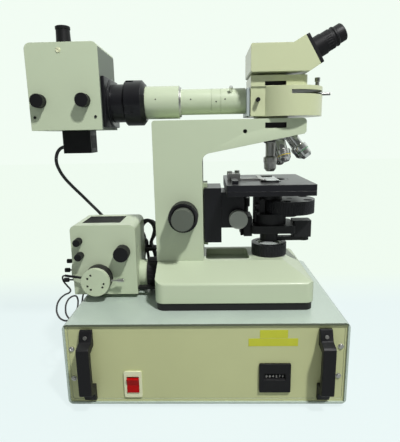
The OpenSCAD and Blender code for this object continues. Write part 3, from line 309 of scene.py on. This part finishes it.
# Dressing of the CAD nodes. A copy is merged from its loose triangles, its flat
# faces are joined, its rims get a small round and its curves are shaded smooth.
def dress(node, material, rim=0.0004, name=None, part=None, also=(), sharp=28):
    """A finished copy of a CAD node, or of the faces that part(centre) picks.

    also is (material, test) for small areas of another finish.
    """
    source = frame["nodes"][node]
    shape = bmesh.new()
    shape.from_mesh(source.data)
    bmesh.ops.remove_doubles(shape, verts=shape.verts, dist=2e-6)
    if part:
        left_out = [f for f in shape.faces if not part(f.calc_center_median())]
        bmesh.ops.delete(shape, geom=left_out, context="FACES")
    for index, (_, test) in enumerate(also):
        for face in shape.faces:
            if test(face.calc_center_median()):
                face.material_index = index + 1
    bmesh.ops.dissolve_limit(
        shape, angle_limit=radians(0.4), verts=shape.verts, edges=shape.edges, delimit={"MATERIAL"})
    finishes = [material] + [other for other, _ in also]
    piece = linked(name or node + "_shell", shape, finishes, sharp)
    if rim:
        bevel = piece.modifiers.new("rim", "BEVEL")
        bevel.width = rim
        bevel.segments = 2
        bevel.limit_method = "ANGLE"
        bevel.angle_limit = radians(sharp)
        bevel.harden_normals = True
    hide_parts(node)
    bodies = frame["record"]["behaviour"]["bodies"]
    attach(piece, next(body for body, members in bodies.items() if node in members))
    return piece


# Supply case. A folded steel wrap round the power supply, in grey hammered paint.
# It is thin sheet, so inside its front edge a frame steps back to the panel. Its top front edge is painted
# dark olive, as painted shade.
def hammered(tree):
    """Dimples of hammered paint, about 2 mm across."""
    place = add(tree, "TexCoord").outputs["Object"]
    cells = add(tree, "TexVoronoi", {"Vector": place, "Scale": 420.0, "Smoothness": 0.7}, feature="SMOOTH_F1")
    return cells.outputs["Distance"]


hammer_paint = new_finish(
    "hammer_paint", (0.47, 0.565, 0.49), coat=0.6, worn_colour=(0.18, 0.2, 0.18), wear=0.35, mottle=0.22,
    patch_size=9.0, dust=0.08, roughness=0.36, rough_spread=0.14, grain_size=700.0, grain_depth=0.00003,
    edge_radius=0.0012, extra_depth=0.00035, height=hammered)
# The wrap's top front edge is painted dark olive, as painted shade.
shaded_lip_paint = new_finish(
    "shaded_lip_paint", (0.10, 0.12, 0.075), coat=0.1, worn_colour=(0.14, 0.16, 0.13), wear=0.4, mottle=0.2,
    patch_size=12.0, dust=0.0, roughness=0.4, rough_spread=0.1, grain_depth=0.00002)
panel_paint = new_finish(
    "panel_paint", (0.51, 0.54, 0.28), coat=0.15, worn_colour=(0.26, 0.27, 0.16), wear=0.25, mottle=0.16,
    patch_size=7.0, dust=0.0, roughness=0.38, rough_spread=0.12, grain_size=1300.0, grain_depth=0.00002)
case_wrap = dress("supply_case", hammer_paint, rim=0.0006)
for finish in (shaded_lip_paint, panel_paint):
    case_wrap.data.materials.append(finish)
on_wrap, on_shaded_top_edge, on_frame = 0, 1, 2
case_low, case_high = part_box("supply_case")
case_front = case_low.y
sheet, step_back, hair = 0.0034, 0.0027, 0.0001
inside = {axis: (case_low[axis] + sheet, case_high[axis] - sheet) for axis in (0, 2)}


def faces_in_front(shape):
    """The faces in the plane of the wrap's front edge."""
    return [f for f in shape.faces if f.calc_center_median().y < case_front + hair]


def is_inside(face):
    """Whether a face lies inside the sheet's thickness."""
    centre = face.calc_center_median()
    return all(low < centre[axis] < high for axis, (low, high) in inside.items())


# The front edge is cut along the sheet's inner faces.
wrap = bmesh.new()
wrap.from_mesh(case_wrap.data)
for axis, places in inside.items():
    for place in places:
        at = Vector([place if i == axis else 0 for i in range(3)])
        across = Vector([1 if i == axis else 0 for i in range(3)])
        front = faces_in_front(wrap)
        near = list({e for f in front for e in f.edges}) + list({v for f in front for v in f.verts})
        bmesh.ops.bisect_plane(wrap, geom=front + near, dist=1e-6, plane_co=at, plane_no=across)

# What lies inside is parted from the sheet's edge and moved back.
front = faces_in_front(wrap)
inner = [f for f in front if is_inside(f)]
outer = [f for f in front if not is_inside(f)]
seam = [e for e in wrap.edges if len(e.link_faces) == 2 and
        {f in inner for f in e.link_faces} == {True, False} and all(f in front for f in e.link_faces)]
bmesh.ops.split_edges(wrap, edges=seam)
for v in {v for f in inner for v in f.verts}:
    v.co.y += step_back
# The top front edge gets the dark olive of painted shade; the rest of the edge keeps the hammered paint.
for f in outer:
    f.material_index = on_shaded_top_edge if f.calc_center_median().z > inside[2][1] else on_wrap
for f in inner:
    f.material_index = on_frame

# The sheet's inner faces close the step.
open_edges = [e for e in wrap.edges if e.is_boundary and all(v.co.y < case_front + hair for v in e.verts)]
sheet_walls = bmesh.ops.extrude_edge_only(wrap, edges=open_edges)["geom"]
deep = [v for v in sheet_walls if isinstance(v, bmesh.types.BMVert)]
bmesh.ops.translate(wrap, vec=(0, step_back, 0), verts=deep)
bmesh.ops.remove_doubles(wrap, verts=wrap.verts, dist=1e-5)
bmesh.ops.recalc_face_normals(wrap, faces=wrap.faces)
wrap.to_mesh(case_wrap.data)
wrap.free()
case_wrap.data.set_sharp_from_angle(angle=radians(28))

# Front panel. A 3 mm aluminium plate in cream enamel, with two bare label tapes
# stuck on it and the switch's ivory frame.
ivory_plastic = new_finish(
    "ivory_plastic", (0.70, 0.72, 0.48), coat=0.1, mottle=0.05, dust=0.0, roughness=0.35, grain_depth=0.00001)
panel_front = case_front + 0.003
panel_back = panel_front + 0.003


def within(x=None, y=None, z=None):
    """A test for faces whose centre lies between these limits, in millimetres."""
    limits = [(axis, span) for axis, span in enumerate((x, y, z)) if span]
    return lambda centre: all(low < centre[axis] * 1000 < high for axis, (low, high) in limits)


round_switch = within(x=(-108.5, -78.5), z=(19, 67))


def on_switch_frame(centre):
    """The frame stands proud of the plate and reaches behind it."""
    return round_switch(centre) and not panel_front - hair <= centre.y <= panel_back + hair


dress("supply_panel", panel_paint, part=lambda c: not on_switch_frame(c))
dress("supply_panel", ivory_plastic, name="switch_frame", rim=0.0006, part=on_switch_frame)
red_plastic = new_finish(
    "red_plastic", (0.40, 0.003, 0.003), specular=0.15, mottle=0.1, dust=0.0, roughness=0.35,
    grain_depth=0.00001)
dress("switch_rocker", red_plastic, rim=0.0008)

tape_vinyl = new_finish(
    "tape_vinyl", (0.52, 0.54, 0.03), coat=0.1, mottle=0.08, dust=0.0, roughness=0.34, grain_depth=0.00001,
    patch_size=60.0)
tape_places = {
    "tape_upper": (0.1099, 0.1537, 0.1221, 0.1359),
    "tape_lower": (0.0921, 0.1697, 0.1083, 0.1216)}
lifted_from, end_lift = 0.9, 0.0016
for name, (x0, x1, z0, z1) in tape_places.items():
    shape = bmesh.new()
    bmesh.ops.create_grid(shape, x_segments=14, y_segments=4, size=0.5)
    bmesh.ops.scale(shape, vec=(x1 - x0, z1 - z0, 1), verts=shape.verts)
    bmesh.ops.rotate(shape, cent=(0, 0, 0), matrix=Matrix.Rotation(radians(90), 3, "X"), verts=shape.verts)
    middle = Vector(((x0 + x1) / 2, panel_front - 0.0002, (z0 + z1) / 2))
    bmesh.ops.translate(shape, vec=middle, verts=shape.verts)
    for v in shape.verts:
        v.co.y -= end_lift * max(0, abs(v.co.x - middle.x) / (x1 - x0) * 2 - lifted_from)
    mesh = bpy.data.meshes.new(name)
    shape.to_mesh(mesh)
    shape.free()
    mesh.materials.append(tape_vinyl)
    tape = bpy.data.objects.new(name, mesh)
    bpy.context.scene.collection.objects.link(tape)
    wall = tape.modifiers.new("wall", "SOLIDIFY")
    wall.thickness = 0.0003
    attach(tape, "stand")

# Handles, screws, feet and meter on the case. The handles are moulded in black
# plastic over a steel core, the feet are rubber, and the meter counts lamp hours.
black_plastic = new_finish(
    "black_plastic", (0.008, 0.008, 0.009), specular=0.25, worn_colour=(0.06, 0.06, 0.06), wear=0.3,
    mottle=0.2, dust=0.01, roughness=0.42, rough_spread=0.12, grain_size=1100.0, grain_depth=0.00004)
rubber = new_finish(
    "rubber", (0.02, 0.02, 0.02), mottle=0.3, dust=0.12, roughness=0.7, grain_size=800.0, grain_depth=0.00006)
satin_chrome = new_finish(
    "satin_chrome", (0.60, 0.59, 0.56), metallic=1.0, mottle=0.15, dust=0.0, roughness=0.26,
    rough_spread=0.12, grain_size=900.0, grain_depth=0.000008, patch_size=90.0)
dress("rack_handles", black_plastic, rim=0.0012)
handles_low, handles_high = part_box("rack_handles")
half_handle = 0.010
for side, x in (("left", handles_low.x + half_handle), ("right", handles_high.x - half_handle)):
    new_pin(f"handle_screw_{side}", (x * 1000, -156.5, 128.2), (0, -17, 8), radius=3.2, top_radius=2.9,
            length=1.6, material=satin_chrome)
dress("rubber_feet", rubber, rim=0.0008)
dress("screws", satin_chrome, rim=0.0002, also=[
    (black_plastic, within(x=(-300, -145), z=(460, 475))), (ivory_plastic, within(z=(560, 700)))])
dress("hour_meter", black_plastic, rim=0.0004)
counter_white = new_finish("counter_white", (0.62, 0.62, 0.58), mottle=0.05, dust=0.0, roughness=0.5)
meter_low, meter_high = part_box("hour_meter")
meter = (meter_low + meter_high) / 2
first_digit, digit_pitch = meter.x - 0.0131, 0.0052
for column, digit in enumerate("004271"):
    text = bpy.data.curves.new("counter_digit", "FONT")
    text.body = digit
    text.size = 0.0058
    text.align_x, text.align_y = "CENTER", "CENTER"
    text.extrude = 0.00008
    plain_text = bpy.data.objects.new("counter_digit", text)
    mesh = bpy.data.meshes.new_from_object(plain_text)
    digit_x = first_digit + column * digit_pitch
    spot = Matrix.Translation((digit_x, panel_front - 0.0015, meter.z + 0.0025))
    mesh.transform(spot @ Matrix.Rotation(radians(90), 4, "X"))
    mesh.materials.clear()
    mesh.materials.append(counter_white)
    number = bpy.data.objects.new(f"counter_digit_{column}", mesh)
    bpy.context.scene.collection.objects.link(number)
    bpy.data.objects.remove(plain_text)
    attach(number, "stand")

# Power pack. Laminated iron, tinned cans and moulded sockets inside the case, of
# which little more than a dark shape shows through the openings.
iron = new_finish(
    "iron", (0.10, 0.095, 0.09), metallic=0.3, mottle=0.4, dust=0.2, roughness=0.5, grain_depth=0.00005)
dress("power_pack", iron, rim=0.0003)

# Stand. A cast foot on a dark base plate, and a cast arm, both castings in pale
# stoved enamel. The arm's near side has a slot for an analyser and a plug hole, both painted near-black
# inside as painted shade.
dark_paint = new_finish(
    "dark_paint", (0.013, 0.013, 0.014), specular=0.3, worn_colour=(0.12, 0.12, 0.12), wear=0.4,
    mottle=0.2, dust=0.04, roughness=0.4, rough_spread=0.1, grain_size=900.0, grain_depth=0.00004)
cream_paint = new_finish(
    "cream_paint", (0.50, 0.575, 0.405), coat=0.15, worn_colour=(0.36, 0.40, 0.30), wear=0.2, mottle=0.1,
    patch_size=6.0, dust=0.05, roughness=0.36, rough_spread=0.1, grain_size=1000.0, grain_depth=0.000035,
    edge_radius=0.001)
dress("base_plate", dark_paint, rim=0.0008)
dress("base_casting", cream_paint, rim=0.0015)
# Near-black for the insides of slots, holes and the roof grille's recess, as painted shade. The grub screws
# are black in their own right.
black_and_recess_shade = new_finish("black_and_recess_shade", (0.012, 0.011, 0.011), mottle=0.2, dust=0.0, roughness=0.5)
in_analyser_slot = within(x=(126.5, 162.5), y=(-43.9, -36), z=(444, 453.8))
in_plug_hole = within(x=(90, 98), y=(-43.9, -36), z=(436, 444))
dress("arm", cream_paint, rim=0.0012, also=[(black_and_recess_shade, in_analyser_slot), (black_and_recess_shade, in_plug_hole)])

# Focus knobs. Ribbed coarse knobs of black plastic on a hollow shaft, and inside
# them the smaller fine knobs of grey plastic on a shaft that runs through it.
dress("focus_coarse", black_plastic, rim=0.0005)
fine_grey = new_finish(
    "fine_grey", (0.10, 0.115, 0.09), mottle=0.15, dust=0.05, roughness=0.4, grain_depth=0.00003)
dress("focus_fine", fine_grey, rim=0.0006)

# Field lens ring and the lenses. The ring is turned aluminium in black paint, and
# the lenses, the base mirror and the lamp's reflector stand behind it in one light path.
black_paint = new_finish(
    "black_paint", (0.007, 0.007, 0.009), coat=0.1, specular=0.3, worn_colour=(0.2, 0.2, 0.2), wear=0.25,
    mottle=0.2, dust=0.02, roughness=0.3, rough_spread=0.12, grain_size=900.0, grain_depth=0.00002)
dress("field_ring", black_paint, rim=0.0006)
clear_glass = new_finish(
    "clear_glass", (0.92, 0.97, 0.97), mottle=0.0, dust=0.0, roughness=0.03, rough_spread=0.02,
    grain_depth=0.0, edge_radius=0.0)
clear_glass.node_tree.nodes["Principled BSDF"].inputs["Transmission Weight"].default_value = 0.92
dress("fixed_optics", clear_glass, rim=0)

# Stage. A black painted carriage and fixed plate, the cross travel plate above them
# in glossy black, and a bright slide holder with its black sprung finger.
steel = new_finish(
    "steel", (0.55, 0.55, 0.53), metallic=1.0, mottle=0.2, dust=0.0, roughness=0.3, rough_spread=0.15,
    grain_size=900.0, grain_depth=0.00001, patch_size=80.0)
stage_gloss = new_finish(
    "stage_gloss", (0.007, 0.007, 0.010), coat=0.1, specular=0.4, worn_colour=(0.2, 0.2, 0.2), wear=0.3,
    mottle=0.2, dust=0.06, roughness=0.3, rough_spread=0.08, grain_size=700.0, grain_depth=0.000006)
dress("stage_carriage", black_paint, rim=0.0006)
dress("stage_plate", black_paint, rim=0.0005)
dress("stage_top", stage_gloss, rim=0.0006)
dress("slide_holder", steel, rim=0.0003)
dress("holder_finger", black_paint, rim=0.0002)
dress("glass_slide", clear_glass, rim=0.0002)
dress("stage_knob_x", black_plastic, rim=0.0004)
dress("stage_knob_y", black_plastic, rim=0.0004)

# Condenser with its carrier, turret and the swing-in lens. Turned and milled parts
# in black paint, with one grey plastic knob that drives the carrier up and down.
grey_plastic = new_finish(
    "grey_plastic", (0.34, 0.36, 0.32), mottle=0.12, dust=0.04, roughness=0.42, grain_depth=0.00003)
dress("condenser_carrier", dark_paint, rim=0.0006)
dress("condenser_knob", grey_plastic, rim=0.0005)
dress("condenser_body", dark_paint, rim=0.0005)
dress("condenser_turret", black_paint, rim=0.0006)
dress("aux_lens_arm", dark_paint, rim=0.0005)

# Nosepiece and objectives. Five chromed brass objectives are screwed into a black
# revolver that leans 20 degrees, so that the one in use stands upright.
dress("nosepiece", black_paint, rim=0.0004)
chrome = new_finish(
    "chrome", (0.78, 0.78, 0.76), metallic=1.0, mottle=0.1, dust=0.0, roughness=0.12, rough_spread=0.12,
    grain_size=500.0, grain_depth=0.000004, patch_size=120.0)


def spun(name, profile, place, material, also=()):
    """A turned piece: a profile of (radius, height) in mm spun about its own axis.

    also is (material, first height, last height).
    """
    shape = bmesh.new()
    points = [shape.verts.new((r / 1000, 0, h / 1000)) for r, h in profile]
    line = [shape.edges.new(pair) for pair in zip(points, points[1:])]
    bmesh.ops.spin(shape, geom=points + line, cent=(0, 0, 0), axis=(0, 0, 1), angle=2 * pi, steps=48,
                   use_merge=True)
    bmesh.ops.remove_doubles(shape, verts=shape.verts, dist=1e-6)
    bmesh.ops.recalc_face_normals(shape, faces=shape.faces)
    for index, (_, low_end, high_end) in enumerate(also):
        for face in shape.faces:
            if low_end < face.calc_center_median().z * 1000 < high_end:
                face.material_index = index + 1
    shape.transform(place)
    return linked(name, shape, [material] + [other for other, _, _ in also])


ring_colours = {
    "ring_white": (0.7, 0.7, 0.66), "ring_yellow": (0.65, 0.5, 0.05), "ring_blue": (0.05, 0.15, 0.45),
    "ring_green": (0.06, 0.28, 0.10), "ring_red": (0.5, 0.04, 0.03)}
rings = {name: new_finish(name, colour, mottle=0.1, dust=0.0, roughness=0.35)
         for name, colour in ring_colours.items()}
front_glass = new_finish(
    "front_glass", (0.02, 0.02, 0.035), coat=1.0, mottle=0.0, dust=0.0, roughness=0.05, grain_depth=0.0)
optical_axis_x, axes_meet_z, nose_lean = 0.1425, 0.478, radians(20)
revolver = Matrix.Translation((optical_axis_x, 0, axes_meet_z)) @ Matrix.Rotation(pi - nose_lean, 4, "Y")
shoulder = 56

# Each outline runs from the thread in the revolver down to the front lens.
reaches = {"ring_white": 52.2, "ring_red": 50, "ring_blue": 51, "ring_green": 49, "ring_yellow": 41}
for k, (ring, reach) in enumerate(reaches.items()):
    tip = shoulder + reach
    band = shoulder + reach * 0.52
    profile = [(0, 54), (9.9, 54), (9.9, 56.05), (10.7, 56.05), (11, 56.4), (11, 58.6), (10.7, 59), (8.8, 59),
               (8.8, 60.5), (8.6, 60.7), (8.6, band - 1.6), (11.2, band), (12, band + 0.3), (12, band + 7.5),
               (11.6, band + 8), (11.6, band + 9.2), (11.2, band + 9.3), (11.2, band + 10.3),
               (10.9, band + 10.4), (10.6, tip - 5), (7.4, tip - 0.6), (6.8, tip), (3.6, tip),
               (3.4, tip - 0.5), (0, tip - 0.6)]
    thread = revolver @ Matrix.Rotation(radians(72 * k), 4, "Z") @ Matrix.Rotation(nose_lean, 4, "Y")
    body = spun(f"objective_{k}", profile, thread, satin_chrome if k == 0 else chrome, also=[
        (rings[ring], band + 9.2, band + 10.4), (front_glass, tip - 0.7, tip - 0.4)])
    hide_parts("objectives")
    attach(body, "revolver")

# Halogen lamp house and its controls. A cast box in the stand's enamel with a grille in its roof,
# whose recess is painted near-black as painted shade, a socket with a drilled disc, and black plastic knobs.
dress("lamp_clamp", black_plastic, rim=0.0006)
# The grille's recess is painted near-black, as painted shade.
in_roof_grille = within(x=(-197.5, -127.5), y=(-24.5, 36.5), z=(281.2, 283.95))
dress("lamp_housing", cream_paint, rim=0.0012, also=[(black_and_recess_shade, in_roof_grille)])
for node in ("lamp_knob_upper", "lamp_knob_lower", "lamp_knob_focus"):
    dress(node, black_plastic, rim=0.0005)
disc_x, disc_z, disc_holes_r = -0.1675, 0.187, 0.018
behind_disc_face = within(y=(-69.99, -63.5))


def in_disc_hole(centre):
    """The disc's holes lie within a circle and behind its front face."""
    return behind_disc_face(centre) and hypot(centre.x - disc_x, centre.z - disc_z) < disc_holes_r


# The disc's drilled holes are painted near-black, as painted shade.
dress("lamp_socket", cream_paint, rim=0.0006, also=[
    (black_and_recess_shade, within(y=(-62.1, -45.5))), (black_and_recess_shade, in_disc_hole),
    (black_plastic, within(x=(-300, -192.5)))])
dress("lamps", clear_glass, rim=0)
for node in ("mirror_knob_top", "mirror_knob_mid", "mirror_knob_low"):
    dress(node, black_plastic, rim=0.0006)

# Arc lamp house, its socket and the collector. A sheet metal box in enamel whose
# right end is painted dark grey as painted shade; on it a black plate holds the collector's bayonet cage.
shaded_side_grey = new_finish(
    "shaded_side_grey", (0.18, 0.21, 0.17), specular=0.3, mottle=0.15, dust=0.03, roughness=0.5, rough_spread=0.1,
    grain_depth=0.00004)
# The right end face is painted dark grey, as painted shade.
dress("arc_housing", cream_paint, rim=0.0012, also=[(shaded_side_grey, within(x=(-140.5, 0)))])
tube_axis_z = 0.4915
mount_plate = bmesh.new()
bmesh.ops.create_cube(mount_plate, size=1.0)
bmesh.ops.scale(mount_plate, vec=(0.006, 0.100, 0.081), verts=mount_plate.verts)
bmesh.ops.translate(mount_plate, vec=(-0.1369, 0, tube_axis_z), verts=mount_plate.verts)
bmesh.ops.bevel(mount_plate, geom=mount_plate.edges[:], offset=0.0015, segments=2, profile=0.5,
                affect="EDGES", material=-1)
new_piece("mount_plate", mount_plate, black_paint)
dress("arc_knob_left", black_plastic, rim=0.0006)
dress("arc_knob_right", black_plastic, rim=0.0006)
dress("arc_socket", black_plastic, rim=0.0008)
dress("collector", black_paint, rim=0.0006)

# Illuminator: light tube, filter block, drum and intermediate piece. From the filter
# block up the enamel is a warmer one than the stand's.
head_paint = new_finish(
    "head_paint", (0.545, 0.59, 0.36), coat=0.45, worn_colour=(0.36, 0.38, 0.27), wear=0.2, mottle=0.1,
    patch_size=6.0, dust=0.05, roughness=0.36, rough_spread=0.1, grain_size=1000.0, grain_depth=0.000035,
    edge_radius=0.001)
flange_grey = new_finish(
    "flange_grey", (0.42, 0.48, 0.47), metallic=0.2, mottle=0.15, dust=0.04, roughness=0.35,
    grain_depth=0.00001)
dress("light_tube", cream_paint, rim=0.0005, also=[
    (steel, within(x=(-16.5, -12.5))), (flange_grey, within(x=(96.8, 102.5)))])

# Grub screws sit in the tube's near side, each at its own place and slope.
step_x, wide_r, narrow_r = -16, 27.4, 21.4
for k, (x, slope) in enumerate(((-55, 8), (4, 8), (47, -4), (62, 6))):
    out = Vector((0, -cos(radians(slope)), sin(radians(slope))))
    foot = Vector((x, 0, tube_axis_z * 1000)) + out * (wide_r if x < step_x else narrow_r)
    new_pin(f"grub_screw_{k}", foot, out, radius=1.3, top_radius=1.1, length=0.35, material=black_and_recess_shade)
dress("tube_screw", chrome, rim=0.0003)
dress("epi_housing", head_paint, rim=0.001)
drum_x, drum_face_r = 0.1696, 0.0565
lever_steel = new_finish(
    "lever_steel", (0.32, 0.32, 0.31), metallic=1.0, mottle=0.25, dust=0.0, roughness=0.38, rough_spread=0.1,
    grain_size=1400.0, grain_depth=0.00006)
dress("filter_turret", dark_paint, rim=0.0004, also=[
    (lever_steel, lambda c: hypot(c.x - drum_x, c.y) > drum_face_r)])
dress("drum_screw", steel, rim=0.0005)
dress("epi_knob", black_plastic, rim=0.0005)
# The slider slot is painted near-black inside, as painted shade.
in_slider_slot = within(x=(125.5, 160.5), y=(-41.9, -33), z=(511.5, 519))
dress("intermediate", head_paint, rim=0.001, also=[(black_and_recess_shade, in_slider_slot)])

# Head and eyepieces. A cast head in the warm enamel, with a black plate on its
# slope along which the two black eyepiece tubes slide apart.
eye_tilt, half_pupils = radians(30), 0.032
plate_foot = Vector((0.2055, 0, 0.5673))
plate_out = Vector((cos(eye_tilt), 0, sin(eye_tilt)))
plate_depth = 0.0064


def on_plate(centre):
    """Whether a face belongs to the black plate."""
    return (centre - plate_foot).dot(plate_out) > -plate_depth


dress("head_housing", head_paint, rim=0.001, part=lambda c: not on_plate(c))
dress("head_housing", black_plastic, rim=0.0006, name="eyepiece_plate", part=on_plate)
for node in ("tube_near", "tube_far", "eyepiece_near", "eyepiece_far"):
    dress(node, black_plastic, rim=0.0004)
lens_profile = [(8.4, 46), (8.4, 47.2), (8.0, 47.4), (6, 48), (4, 48.4), (2, 48.6), (0, 48.65)]
for side, body in ((-1, "ocular_near"), (1, "ocular_far")):
    tube_foot = Matrix.Translation((plate_foot.x, side * half_pupils, plate_foot.z))
    axis_out = tube_foot @ Matrix.Rotation(pi / 2 - eye_tilt, 4, "Y")
    lens = spun(body.replace("ocular", "eye_lens"), lens_profile, axis_out, front_glass)
    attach(lens, body)

# Studio. A pale floor and world, which the camera and glass see at a plain level, a
# small key lamp from the upper right in front, and two weak fills from the left.
floor_shape = bmesh.new()
floor_reach = 6
bmesh.ops.create_grid(floor_shape, x_segments=1, y_segments=1, size=floor_reach)
floor_mesh = bpy.data.meshes.new("floor")
floor_shape.to_mesh(floor_mesh)
floor_shape.free()
floor = bpy.data.objects.new("floor", floor_mesh)
bpy.context.scene.collection.objects.link(floor)
floor_paint = bpy.data.materials.new("floor_paint")
floor_paint.use_nodes = True
floor_tree = floor_paint.node_tree
floor_shader = floor_tree.nodes["Principled BSDF"]
floor_shader.inputs["Base Color"].default_value = (0.40, 0.43, 0.43, 1)
floor_shader.inputs["Roughness"].default_value = 0.7
floor_shader.inputs["Specular IOR Level"].default_value = 0.1
floor_place = add(floor_tree, "SeparateXYZ", {0: add(floor_tree, "TexCoord").outputs["Object"]}).outputs
far_off = spread(floor_tree, floor_place["Y"], 0.0, 1.0, 0.26, 0.5)
floor_colour = mixed(floor_tree, far_off, (0.94, 1.06, 1.05, 1), (0.87, 0.97, 0.875, 1))
floor_glow = add(floor_tree, "Emission", {"Color": floor_colour, "Strength": 1.0})
floor_rays = add(floor_tree, "LightPath").outputs
near_share, far_share = 0.79, 1.0
shadowless = spread(floor_tree, far_off, near_share, far_share, 0.0, 1.0)
floor_share = times(floor_tree, floor_rays["Is Camera Ray"], shadowless)
floor_mix = add(floor_tree, "MixShader", {
    0: floor_share, 1: floor_shader.outputs[0], 2: floor_glow.outputs[0]})
floor_tree.links.new(floor_mix.outputs[0], floor_tree.nodes["Material Output"].inputs["Surface"])
floor_mesh.materials.append(floor_paint)

world = bpy.data.worlds.new("studio")
bpy.context.scene.world = world
world.use_nodes = True
sky = world.node_tree
plain = sky.nodes["Background"]
plain.inputs["Color"].default_value = (0.95, 1.0, 0.98, 1)
sight = add(sky, "SeparateXYZ", {0: add(sky, "TexCoord").outputs["Generated"]}).outputs
back_wall = spread(sky, sight["Y"], 0.10, 1.0, -0.55, 0.35)
rays = add(sky, "LightPath").outputs
sky.links.new(spread(sky, back_wall, 0.16, 0.36, 0.0, 1.0), plain.inputs["Strength"])
mirror = add(sky, "Background", {"Color": (0.93, 1.0, 0.95, 1), "Strength": back_wall})
bright = add(sky, "Background", {"Color": (0.89, 0.98, 0.90, 1), "Strength": 1.0})
seen = add(sky, "Math", {0: rays["Is Camera Ray"], 1: rays["Is Transmission Ray"]}, operation="MAXIMUM")
shine = add(sky, "MixShader", {0: rays["Is Glossy Ray"], 1: plain.outputs[0], 2: mirror.outputs[0]})
choice = add(sky, "MixShader", {0: seen.outputs[0], 1: shine.outputs[0], 2: bright.outputs[0]})
sky.links.new(choice.outputs[0], sky.nodes["World Output"].inputs["Surface"])


def new_lamp(name, place, size, power):
    """A round area lamp that looks at the middle of the object."""
    data = bpy.data.lights.new(name, "AREA")
    data.shape = "DISK"
    data.size = size
    data.energy = power
    lamp = bpy.data.objects.new(name, data)
    lamp.location = place
    lamp.rotation_euler = (middle_of_object - lamp.location).to_track_quat("-Z", "Y").to_euler()
    bpy.context.scene.collection.objects.link(lamp)
    return lamp


middle_of_object = Vector((0, 0, 0.3))
new_lamp("key_light", (0.80, -1.25, 2.3), 0.22, 64)
for name, place, power in (("front_fill", (-0.3, -1.9, 0.8), 3), ("side_fill", (-1.6, -0.5, 1.2), 2)):
    fill = new_lamp(name, place, 1.2, power)
    fill.visible_glossy = False

bpy.context.scene.view_settings.view_transform = "Standard"
